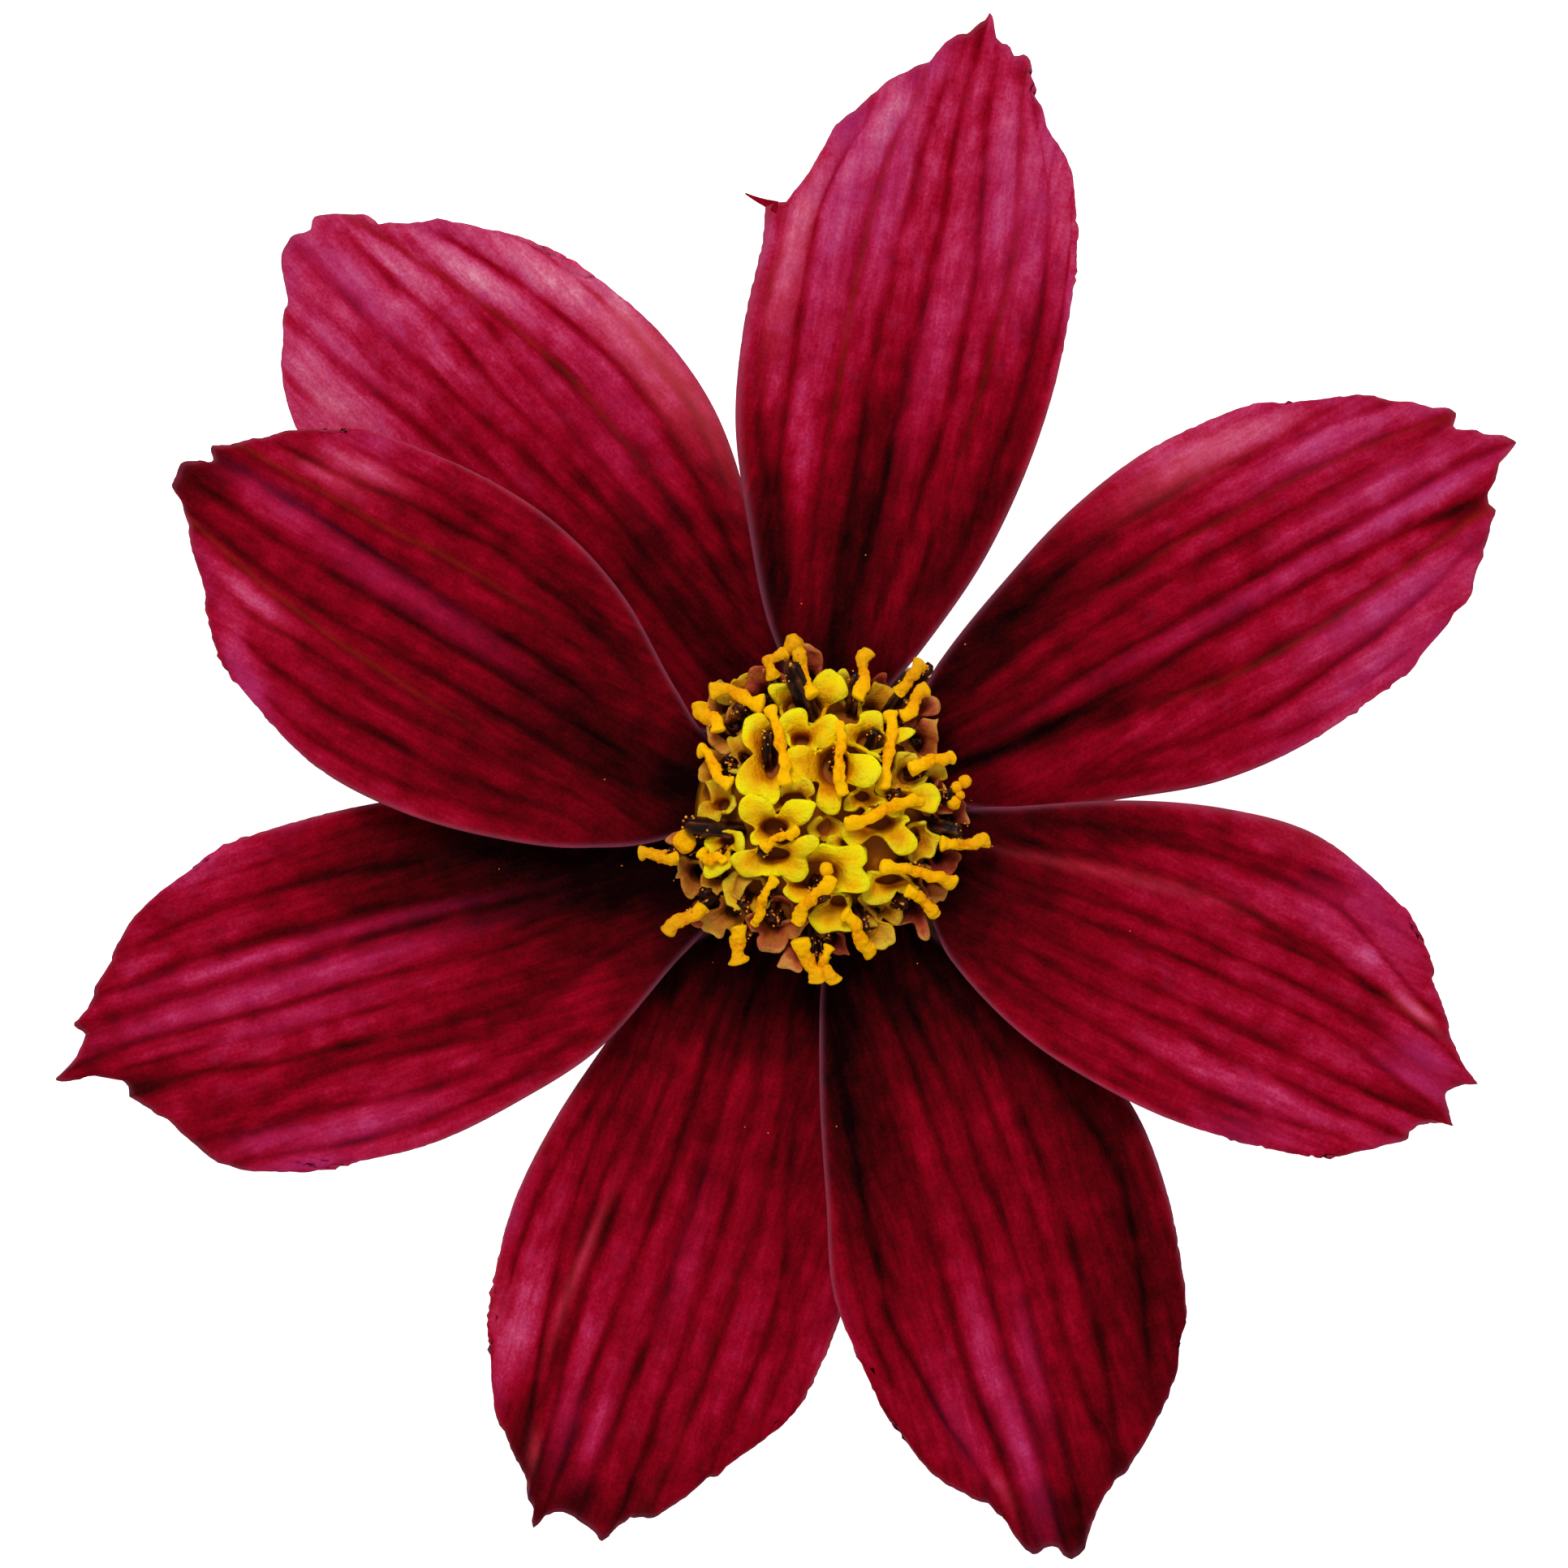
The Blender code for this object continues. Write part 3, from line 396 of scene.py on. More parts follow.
            (0.685, 0.95, 0.02, 0.025, 0.24, 0.3), (0.53, 0.85, 0.02, 0.06, 0.18, -0.2),
            (0.64, 0.74, 0.03, 0.08, 0.12, 0.0), (0.45, 0.55, 0.03, 0.1, 0.06, -0.1),
            (0.62, 0.86, 0.03, 0.05, 0.08, -0.2), (0.735, 0.66, 0.012, 0.1, 0.12, 0.3),
            (0.62, 0.97, 0.12, 0.04, -0.16, 0.0), (0.75, 0.92, 0.03, 0.05, -0.16, 0.0),
            (0.1, 0.3, 0.08, 0.3, -0.12, 0.0), (0.95, 0.2, 0.08, 0.15, -0.2, 0.0),
            (0.3, 0.95, 0.1, 0.08, -0.04, 0.0), (0.08, 0.7, 0.06, 0.1, -0.04, 0.0),
        ),
    ),
    "f": dict(
        root=203, aim=197.4, level=middle, rise=0.3, arch=0.4, cup=0.0, roll=-0.15,
        left=(1.6, 2.9, 4.7, 5.55, 6.0, 5.8), right=(1.4, 2.6, 3.9, 4.75, 5.15, 5.2),
        tip=(
            (-5.7, 15.0), (-5.45, 16.0), (-5.25, 16.5), (-5.05, 17.0), (-4.8, 17.5), (-4.5, 17.9),
            (-4.2, 18.1), (-3.6, 18.5), (-2.75, 19.0), (-2.2, 19.5), (-1.64, 19.9), (-1.35, 19.85),
            (-1.1, 20.0), (-0.85, 20.5), (-0.65, 20.9), (-0.6, 21.3), (-0.6, 21.7), (-0.5, 22.0),
            (-0.4, 22.1), (-0.25, 21.8), (-0.05, 21.4), (0.15, 21.1), (0.4, 20.9), (0.7, 20.7),
            (0.9, 20.85), (1.14, 21.0), (1.25, 20.75), (1.45, 20.4), (1.7, 20.2), (2.0, 20.0), (2.4, 19.6),
            (2.75, 19.2), (3.0, 19.0), (3.4, 18.6), (3.9, 18.0), (4.15, 17.5), (4.4, 17.0), (4.7, 16.0),
            (5.05, 15.0),
        ),
        tone=(0.05, 0.19, 0.4, 0.53, 0.6, 0.64, 0.64, 0.6, 0.54),
        veins=(
            (0.7, 0.0, ((0.36, 0.083), (0.53, 0.073), (0.67, 0.083), (0.78, 0.094), (0.87, 0.104),
                (0.97, 0.135))),
            (0.8, 0.0, ((0.41, 0.146), (0.54, 0.15), (0.67, 0.177), (0.77, 0.21), (0.87, 0.2),
                (0.97, 0.21))),
            (0.8, 0.0, ((0.36, 0.23), (0.48, 0.24), (0.61, 0.27), (0.7, 0.29), (0.81, 0.27), (0.93, 0.26))),
            (1.0, 0.1, ((0.2, 0.25), (0.32, 0.267), (0.45, 0.2875), (0.57, 0.3125), (0.67, 0.333),
                (0.76, 0.344), (0.87, 0.365), (0.97, 0.354))),
            (0.6, 0.0, ((0.23, 0.3125), (0.34, 0.344), (0.48, 0.385), (0.59, 0.406), (0.7, 0.417),
                (0.81, 0.433), (0.92, 0.44))),
            (0.9, 0.0, ((0.32, 0.458), (0.43, 0.48), (0.57, 0.496), (0.7, 0.504), (0.83, 0.517),
                (0.96, 0.52))),
            (0.9, 0.0, ((0.32, 0.615), (0.43, 0.625), (0.57, 0.62), (0.7, 0.615), (0.83, 0.608),
                (0.94, 0.604))),
            (0.9, 0.0, ((0.41, 0.6875), (0.53, 0.698), (0.64, 0.69), (0.76, 0.69), (0.87, 0.683),
                (0.97, 0.67))),
            (0.9, 0.0, ((0.54, 0.8), (0.63, 0.8125), (0.74, 0.8), (0.86, 0.7875), (0.94, 0.76))),
            (0.6, 0.0, ((0.74, 0.875), (0.86, 0.885), (0.94, 0.875))),
        ),
        clouds=(
            (0.13, 0.75, 0.035, 0.1, 0.1, -0.4), (0.05, 0.93, 0.04, 0.06, 0.12, -0.5),
            (0.17, 0.9, 0.02, 0.05, 0.06, -0.4), (0.56, 0.7, 0.03, 0.18, 0.12, -0.4),
            (0.56, 0.48, 0.03, 0.12, 0.06, -0.1), (0.65, 0.8, 0.018, 0.12, 0.14, -0.2),
            (0.655, 0.55, 0.012, 0.15, 0.1, -0.3), (0.45, 0.68, 0.025, 0.1, 0.06, -0.3),
            (0.7, 0.93, 0.02, 0.04, 0.16, 0.0), (0.88, 0.87, 0.03, 0.12, 0.12, 0.0),
            (0.95, 0.97, 0.06, 0.05, 0.16, -0.1), (0.42, 0.97, 0.08, 0.05, -0.14, 0.0),
            (0.85, 0.3, 0.17, 0.3, -0.5, 0.0), (0.55, 0.15, 0.12, 0.14, -0.25, 0.0),
            (0.26, 0.75, 0.06, 0.12, -0.08, 0.0), (0.31, 0.5, 0.04, 0.12, -0.06, 0.0),
            (0.95, 0.65, 0.06, 0.12, -0.12, 0.0), (0.21, 0.2, 0.05, 0.1, 0.1, 0.0),
        ),
    ),
    "g": dict(
        root=161, aim=150.3, level=high, rise=0.9, arch=0.3, cup=0.2, roll=0.0,
        left=(2.0, 3.8, 5.1, 5.8, 5.85, 4.95), right=(1.2, 2.0, 3.8, 4.75, 4.9, 4.5),
        tip=(
            (-4.45, 15.0), (-4.1, 15.6), (-3.75, 16.0), (-3.2, 16.5), (-2.5, 17.0), (-2.0, 17.6),
            (-1.55, 18.0), (-1.3, 18.2), (-1.1, 18.3), (-0.84, 18.6), (-0.7, 18.75), (-0.5, 19.0),
            (-0.4, 19.3), (-0.3, 19.42), (0.1, 19.45), (0.4, 19.5), (0.6, 19.4), (0.75, 19.1), (0.85, 19.0),
            (0.95, 18.75), (1.1, 18.7), (1.3, 18.85), (1.45, 18.9), (1.55, 18.7), (1.8, 18.4), (2.15, 18.0),
            (2.6, 17.5), (3.1, 17.0), (3.45, 16.5), (3.7, 16.0), (3.95, 15.5), (4.15, 15.0),
        ),
        tone=(0.1, 0.35, 0.41, 0.46, 0.51, 0.54, 0.6, 0.62, 0.55),
        veins=(
            (0.7, 0.0, ((0.28, 0.0875), (0.45, 0.083), (0.57, 0.08), (0.7, 0.073), (0.83, 0.073))),
            (0.9, 0.0, ((0.28, 0.16), (0.43, 0.1625), (0.54, 0.17), (0.66, 0.173), (0.77, 0.177),
                (0.87, 0.167))),
            (0.7, 0.0, ((0.28, 0.25), (0.41, 0.26), (0.54, 0.26), (0.64, 0.275), (0.76, 0.28), (0.86, 0.26),
                (0.92, 0.27))),
            (0.6, 1.0, ((0.28, 0.3), (0.41, 0.317), (0.55, 0.33), (0.67, 0.344), (0.77, 0.354),
                (0.88, 0.36), (0.98, 0.37))),
            (1.0, 0.0, ((0.12, 0.4), (0.28, 0.4), (0.43, 0.4), (0.55, 0.406), (0.67, 0.406), (0.81, 0.4),
                (0.97, 0.406))),
            (1.0, 0.0, ((0.19, 0.54), (0.28, 0.52), (0.41, 0.517), (0.54, 0.51), (0.67, 0.51),
                (0.81, 0.504), (0.97, 0.51))),
            (1.0, 0.0, ((0.25, 0.656), (0.37, 0.635), (0.48, 0.62), (0.59, 0.617), (0.7, 0.62),
                (0.83, 0.62), (0.97, 0.625))),
            (0.7, 1.0, ((0.3, 0.75), (0.41, 0.74), (0.54, 0.72), (0.68, 0.698), (0.79, 0.69), (0.89, 0.683),
                (0.98, 0.6875))),
            (0.9, 0.0, ((0.25, 0.854), (0.41, 0.83), (0.54, 0.823), (0.63, 0.8), (0.74, 0.79),
                (0.84, 0.767), (0.94, 0.76))),
            (0.7, 0.0, ((0.28, 0.896), (0.43, 0.875), (0.59, 0.87), (0.77, 0.875))),
        ),
        clouds=(
            (0.3, 0.87, 0.035, 0.07, 0.22, 0.1), (0.82, 0.84, 0.03, 0.06, 0.22, 0.4),
            (0.74, 0.85, 0.018, 0.05, 0.16, 0.3), (0.6, 0.86, 0.03, 0.08, 0.1, -0.3),
            (0.57, 0.67, 0.03, 0.08, 0.04, -0.25), (0.57, 0.5, 0.03, 0.1, 0.05, -0.2),
            (0.16, 0.93, 0.05, 0.05, 0.1, 0.0), (0.08, 0.92, 0.04, 0.06, 0.12, -0.4),
            (0.55, 0.15, 0.17, 0.16, -0.18, 0.0), (0.52, 0.96, 0.1, 0.04, -0.2, 0.0),
            (0.44, 0.85, 0.03, 0.12, -0.08, 0.0), (0.03, 0.45, 0.03, 0.2, 0.08, 0.0),
            (0.9, 0.4, 0.1, 0.2, -0.05, 0.0), (0.93, 0.93, 0.05, 0.06, 0.08, -0.2),
        ),
    ),
    "h": dict(
        root=122, aim=132.9, level=low, rise=0.2, arch=0.4, cup=-0.25, roll=0.0,
        left=(1.4, 2.7, 4.3, 5.3, 5.5, 5.15), right=(1.4, 2.7, 4.5, 5.8, 6.2, 5.85),
        tip=(
            (-4.95, 14.9), (-4.75, 16.0), (-4.5, 16.9), (-4.2, 17.5), (-3.93, 18.1), (-3.3, 18.8),
            (-2.7, 19.4), (-2.2, 19.85), (-1.95, 19.95), (-1.6, 20.5), (-1.32, 20.95), (-1.0, 21.28),
            (-0.7, 21.4), (-0.4, 21.43), (-0.1, 21.3), (0.2, 21.17), (0.4, 21.35), (0.61, 21.4),
            (0.85, 21.25), (1.05, 21.1), (1.4, 20.75), (1.78, 20.4), (1.87, 19.9), (2.2, 19.6),
            (2.56, 19.25), (3.0, 18.95), (3.46, 18.6), (3.85, 18.1), (4.24, 17.55), (4.85, 16.65),
            (5.32, 15.6), (5.5, 15.0),
        ),
        tone=(0.1, 0.39, 0.45, 0.55, 0.62, 0.7, 0.78, 0.8, 0.76),
        veins=(
            (0.8, 0.0, ((0.2, 0.12), (0.5, 0.13), (0.8, 0.15))),
            (0.8, 0.0, ((0.2, 0.24), (0.5, 0.25), (0.8, 0.24), (0.97, 0.22))),
            (0.9, 0.0, ((0.2, 0.37), (0.5, 0.38), (0.6, 0.385), (0.75, 0.36), (0.88, 0.34), (0.97, 0.32))),
            (0.8, 0.0, ((0.3, 0.45), (0.5, 0.44), (0.63, 0.427), (0.77, 0.406), (0.87, 0.4), (0.95, 0.38))),
            (0.9, 0.0, ((0.1, 0.5), (0.3, 0.53), (0.41, 0.53), (0.55, 0.51), (0.64, 0.49), (0.7, 0.48),
                (0.81, 0.4625), (0.97, 0.4625))),
            (0.8, 0.0, ((0.1, 0.58), (0.25, 0.604), (0.39, 0.6), (0.5, 0.583), (0.6, 0.573), (0.7, 0.573),
                (0.77, 0.583), (0.85, 0.56), (0.95, 0.552))),
            (0.7, 0.0, ((0.15, 0.68), (0.32, 0.675), (0.45, 0.66), (0.57, 0.65), (0.68, 0.645),
                (0.75, 0.66))),
            (1.0, 1.0, ((0.19, 0.81), (0.3, 0.7875), (0.41, 0.76), (0.52, 0.735), (0.64, 0.72),
                (0.71, 0.704), (0.83, 0.67), (0.93, 0.625), (0.98, 0.594))),
            (1.0, 0.0, ((0.19, 0.906), (0.3, 0.885), (0.41, 0.865), (0.5, 0.854), (0.61, 0.844),
                (0.7, 0.823), (0.79, 0.8), (0.87, 0.78), (0.95, 0.74))),
            (0.8, 0.1, ((0.4, 0.94), (0.57, 0.9375), (0.67, 0.933), (0.77, 0.93), (0.89, 0.92),
                (0.97, 0.906))),
        ),
        clouds=(
            (0.25, 0.88, 0.035, 0.09, 0.16, 0.2), (0.36, 0.9, 0.03, 0.08, 0.1, -0.3),
            (0.49, 0.9, 0.03, 0.08, 0.04, -0.7), (0.595, 0.9, 0.025, 0.06, 0.14, -0.1),
            (0.72, 0.87, 0.035, 0.08, 0.14, -0.1), (0.87, 0.85, 0.045, 0.12, 0.14, 0.2),
            (0.95, 0.75, 0.03, 0.12, 0.14, 0.9), (0.9, 0.65, 0.035, 0.12, 0.1, 0.6),
            (0.97, 0.55, 0.03, 0.12, 0.08, 0.6), (0.8, 0.6, 0.03, 0.12, 0.04, -0.2),
            (0.63, 0.2, 0.12, 0.15, -0.12, 0.0), (0.95, 0.25, 0.06, 0.15, -0.06, 0.0),
            (0.7, 0.5, 0.05, 0.1, 0.03, -0.1),
        ),
    ),
}
petalBuild = dict(
    ring=3.93, clawTurn=(-0.3, 2.0), clawRadius=3.3, clawHalfWidth=0.7, clawFoot=2.35, clawRows=8,
    clawBend=2.2, clawDrop=0.45, clawTone=0.12,
    columns=124, rows=106, wall=0.24, tipSoftness=0.12, softSteps=6, toothPower=12,
    bladeHalf=5.0, openBy=0.3, wave=0.05, waveOpenBy=0.25, placeStep=40.0, hornSink=0.03, hornTone=0.5,
    veinWander=0.006, veinStart=(-0.14, 0.03), veinEnd=0.05, veinFade=0.7, veinStrength=(0.85, 0.4),
    brownFrom=(0.3, 0.6), brownLine=0.09, brownShift=0.06,
    grooveCore=0.15, grooveWidth=0.38, grooveReach=1.2, coreShare=0.6, grooveDepth=0.13, pleatLevel=0.35,
    grooveTone=(0.16, 0.19), unevenness=0.6, tipFade=(0.25, 0.82, 0.97),
    scallop=0.07, coarseTeeth=1.6, rimWidth=0.12, endRim=0.7, cloudReach=9, cloudFall=0.7,
    purple=0.5, purpleWidth=0.9, purpleFrom=(0.55, 0.85), purplePatches=(0.3, 3), purpleTone=(0.45, 0.75),
)


def alongPoints(points, share):
    lengths = [(b - a).length for a, b in zip(points, points[1:])]
    left = share * sum(lengths)
    for a, b, length in zip(points, points[1:], lengths):
        if left <= length:
            return a.lerp(b, left / length)
        left -= length
    return points[-1].copy()


def petalSide(petal, side, share):
    widths = petal["left"] if side < 0 else petal["right"]
    shoulder = petal["tip"][0] if side < 0 else petal["tip"][-1]
    places = (*stations, shoulder[1])
    along = share * shoulder[1]
    return Vector((side * curveThrough(places, (*widths, abs(shoulder[0])), along), along))


def petalTip(petal, columns):  # the toothed end and a softened copy of it, column by column
    real = [Vector(p) for p in petal["tip"]]
    steps = petalBuild["softSteps"]
    ends = []
    for i in range(columns + 1):
        across = i / columns
        reach = min(petalBuild["tipSoftness"], across, 1 - across) / steps
        near = [alongPoints(real, across + reach * k) for k in range(-steps, steps + 1)]
        ends.append((alongPoints(real, across), sum(near, Vector((0.0, 0.0))) / len(near)))
    return ends


def petalHeight(petal, share, point, length):
    out = min(1.0, max(0.0, point.y / length))
    openBlade = smoothStep(share, 0.0, petalBuild["openBy"])
    sideways = point.x / petalBuild["bladeHalf"]
    bow = petal["rise"] * out**1.5 + petal["arch"] * math.sin(math.pi * out)
    return petal["level"] + bow + openBlade * (petal["cup"] * sideways**2 + petal["roll"] * sideways)


def placeOnHead(petal, x, y, z):
    root = math.radians(petal["root"])
    bearing = root + (math.radians(petal["aim"]) - root) * smoothStep(y, *petalBuild["clawTurn"])
    return polar(root, petalBuild["ring"]) + polar(bearing, y) + polar(bearing - math.pi / 2, x, z)


def makePetal(letter, petal, index, material):
    b = petalBuild
    columns, rows, clawRows = b["columns"], b["rows"], b["clawRows"]
    ends = petalTip(petal, columns)
    length = max(p[1] for p in petal["tip"])
    footLeft, footRight = Vector((-petal["left"][0], 0.0)), Vector((petal["right"][0], 0.0))
    tipLeft, tipRight = Vector(petal["tip"][0]), Vector(petal["tip"][-1])
    bm = bmesh.new()
    layers = {key: bm.verts.layers.float.new(key) for key in ("tone", "flush", "brown", "rim")}
    placeLayer = bm.verts.layers.float_vector.new("place")
    rowCache = {}

    def rowOf(share):
        if share in rowCache:
            return rowCache[share]
        left, right = petalSide(petal, -1, share), petalSide(petal, 1, share)
        veins = []
        for k, (depth, brown, course) in enumerate(petal["veins"]):
            lower, upper = course[0][0], course[-1][0]
            centre = curveThrough([p[0] for p in course], [p[1] for p in course], share)
            centre += b["veinWander"] * noise.noise((share * 9, k * 3.7, index * 11.3))
            strength = depth * smoothStep(share, lower + b["veinStart"][0], lower + b["veinStart"][1])
            strength *= 1 - b["veinFade"] * smoothStep(share, upper, upper + b["veinEnd"])
            mean, change = b["veinStrength"]
            strength *= mean + change * noise.noise((share * 5, k * 5.1, index * 7.7))
            veins.append((centre, strength, brown * smoothStep(share, *b["brownFrom"])))
        tone = curveThrough(toneStations, petal["tone"], share)
        rowCache[share] = (left, right, (right - left).length, veins, tone)
        return rowCache[share]

    def shape(vert, across, along):
        row = round(along * (rows + clawRows)) - clawRows
        share = max(0.0, row / rows)
        left, right, width, veins, tone = rowOf(share)
        column = round(across * columns)
        tooth, soft = ends[column]
        foot = footLeft.lerp(footRight, across)
        corners = foot.lerp(tipLeft.lerp(tipRight, across), share)
        point = foot.lerp(soft, share) + left.lerp(right, across) - corners
        point = point + (tooth - soft) * share**b["toothPower"]
        # the margin's own small scallops
        edge = smoothStep(share, 0.5, 1.0) * smoothStep(abs(across - 0.5) * 2 + share**6, 0.7, 1.3)
        teeth = noise.noise((across * 60, index * 5.0, 2.0))
        teeth += b["coarseTeeth"] * noise.noise((across * 24, index * 5.0, 4.0))
        point.y += b["scallop"] * edge * teeth
        point.x += b["scallop"] * edge * noise.noise((share * 60, index * 5.0, 9.0))
        groove, wide, brownLine = 0.0, 0.0, 0.0
        for centre, strength, brown in veins:
            gap = (across - centre) * width
            if abs(gap) > b["grooveReach"]:
                continue
            core = strength * math.exp(-(gap / b["grooveCore"]) ** 2)
            broad = strength * math.exp(-(gap / b["grooveWidth"]) ** 2)
            both = b["coreShare"] * core + (1 - b["coreShare"]) * broad
            groove = 1 - (1 - groove) * (1 - min(1.0, both))
            wide = 1 - (1 - wide) * (1 - min(1.0, broad))
            beside = (gap - b["brownShift"]) / b["brownLine"]
            brownLine = max(brownLine, brown * math.exp(-beside**2))
        flush = 0.0
        # clouds: uneven pigment together with painted highlights (lighter) and painted shadows of overlapping
        # petals (darker)
        for cloudAcross, cloudAlong, halfWidth, halfLength, change, cloudFlush in petal["clouds"]:
            far = ((across - cloudAcross) / halfWidth) ** 2 + ((share - cloudAlong) / halfLength) ** 2
            if far > b["cloudReach"]:
                continue
            near = math.exp(-far * b["cloudFall"])
            tone += change * near
            flush += cloudFlush * near
        # darker along the grooves: partly darker pigment in the veins, partly painted shade in the creases
        uneven = 1 + b["unevenness"] * noise.noise((point.x * 1.6, point.y * 0.7, index * 3.0))
        atFoot, more = b["grooveTone"]
        fade, fadeFrom, fadeTo = b["tipFade"]
        tone -= groove * uneven * (atFoot + more * share) * (1 - fade * smoothStep(share, fadeFrom, fadeTo))
        sideGap = min(across, 1 - across) * width
        endGap = (1 - share) * length
        patch = noise.noise((point.x * 0.55, point.y * 0.45, index * 4.0 + 1.5))
        margin = math.exp(-(min(sideGap, endGap) / b["purpleWidth"]) ** 2)
        margin *= smoothStep(share, *b["purpleFrom"])
        mean, change = b["purplePatches"]
        flush -= b["purple"] * margin * max(0.0, mean + change * patch) * smoothStep(tone, *b["purpleTone"])
        vert[layers["tone"]] = max(0.0, min(1.0, tone))
        vert[layers["flush"]] = max(-1.0, min(1.0, flush))
        vert[layers["brown"]] = brownLine
        vert[layers["rim"]] = max(math.exp(-(sideGap / b["rimWidth"]) ** 2),
                                  b["endRim"] * math.exp(-(endGap / b["rimWidth"]) ** 2))
        vert[placeLayer] = (point.x, point.y, index * b["placeStep"])
        if row >= 0:
            openBlade = smoothStep(share, 0.0, b["waveOpenBy"])
            z = petalHeight(petal, share, point, length)
            z -= b["grooveDepth"] * openBlade * (wide - b["pleatLevel"]) * smoothStep(sideGap, 0.0, 0.4)
            z += b["wave"] * openBlade * noise.noise((point.x * 0.5, point.y * 0.4, index * 6.0))
            vert.co = placeOnHead(petal, point.x, point.y, z)
        else:  # the claw bends down into the ring between disc and cup
            depth = -row / clawRows
            bend = b["ring"] - b["clawRadius"]
            wider = (petal["left"][0] - b["clawHalfWidth"]) * (1 - smoothStep(depth, 0.0, 0.5))
            half = (across - 0.5) * 2 * (b["clawHalfWidth"] + wider)
            angle = min(1.0, depth * b["clawBend"]) * math.pi / 2
            out = -bend * math.sin(angle)
            z = petal["level"] - bend * (1 - math.cos(angle))
            dropped = max(0.0, depth - b["clawDrop"]) / (1 - b["clawDrop"])
            z -= dropped * (petal["level"] - bend - b["clawFoot"])
            vert.co = placeOnHead(petal, half, out, z)
            vert[layers["tone"]] = b["clawTone"]

    def hornShape(vert, across, along):  # the thin hook at the shoulder of one petal
        steps = range(len(petal["horn"]))
        x, y, half = [curveThrough(steps, part, along * steps[-1]) for part in zip(*petal["horn"])]
        point = Vector((x, y + (across * 2 - 1) * half))
        height = petalHeight(petal, 1.0, point, length) - b["hornSink"]
        vert.co = placeOnHead(petal, *point, height)
        vert[layers["tone"]] = b["hornTone"]
        vert[placeLayer] = (*point, index * b["placeStep"])

    addSheet(bm, columns, rows + clawRows, shape)
    if "horn" in petal:
        addSheet(bm, 4, 12, hornShape)
    replaced = [f"ray_floret_{letter}"]
    return finishPiece(f"petal_{letter}", bm, material, replaced, wall=b["wall"])


def petalMaterial():
    # Fresh petal: velvety cells over pleated tissue. Near black at the foot, crimson in the
    # middle, pink towards the tip, with darker grooves, partly pigment and partly painted shade, and a few
    # brown veins; the tone it reads also carries painted highlights and painted shadows.
    material, tree, shader = newMaterial("fresh_crimson_petal")
    look = petalLook
    place = attributeOf(tree, "place", "Vector")
    layers = {key: attributeOf(tree, key) for key in ("tone", "flush", "brown", "rim")}
    patterns = {}
    for key, scale, detail, roughness in (
        ("streaks", (4.0, 0.5, 1.0), 3.0, 0.6),  # 0.25 mm across and 2 mm long
        ("cells", (11.0, 8.0, 1.0), 2.0, 0.7),  # 0.1 mm, twice as coarse as real
        ("patches", (1.1, 0.9, 1.0), 4.0, 0.6),  # 1 mm
        ("mottle", (1.7, 1.1, 2.0), 4.0, 0.65),  # bluish patches of 0.6 mm
    ):
        placed = addNode(tree, "ShaderNodeMapping", None, {"Vector": place, "Scale": scale})
        patterns[key] = noiseOf(tree, placed.outputs[0], 1.0, detail, roughness)
    changes = ("streaks", "cells", "patches")
    varied = mathOf(tree, "SUBTRACT", layers["tone"], 0.5 * sum(look[key] for key in changes))
    for key in changes:
        varied = mathOf(tree, "MULTIPLY_ADD", patterns[key], look[key], varied)
    colour = rampOf(tree, varied, look["ramp"])
    mottle = mathOf(tree, "MULTIPLY_ADD", patterns["mottle"], *look["mottleRange"], clamp=True)
    lightParts = mathOf(tree, "MULTIPLY_ADD", layers["tone"], *look["lightRange"], clamp=True)
    mottle = mathOf(tree, "MULTIPLY", mottle, lightParts)
    for share, factor, code in (
        (mottle, look["mottle"], "#AA3A74"),
        (layers["flush"], -0.45, "#9E2C72"),
        (layers["flush"], 0.35, "#D8606A"),
        (layers["brown"], 0.28, "#942C12"),
        (layers["rim"], look["rim"], "#985068"),
    ):
        amount = mathOf(tree, "MULTIPLY", share, factor, clamp=True)
        colour = mixOf(tree, amount, colour, hexColour(code))
    shader.inputs["Roughness"].default_value = 0.75
    shader.inputs["Specular IOR Level"].default_value = 0.015
    dress(tree, shader, colour, patterns["cells"], 0.5, 0.03)
    return material


petalLook = dict(
    streaks=0.32, cells=0.26, patches=0.38, mottle=0.85, mottleRange=(3.2, -1.6), lightRange=(2.0, -0.95),
    rim=0.42,
    ramp=((0.0, "#100001"), (0.1, "#230203"), (0.2, "#380205"), (0.3, "#4F0209"), (0.4, "#68020F"),
          (0.5, "#840216"), (0.6, "#9C0727"), (0.7, "#B01A41"), (0.8, "#C03A64"), (0.9, "#CF5C80"),
          (1.0, "#E08CA2")),
)

petalSkin = petalMaterial()
petalPieces = []
for petalIndex, (letter, petal) in enumerate(petals.items()):
    petalPieces.append(makePetal(letter, petal, petalIndex, petalSkin))
print("petals made")

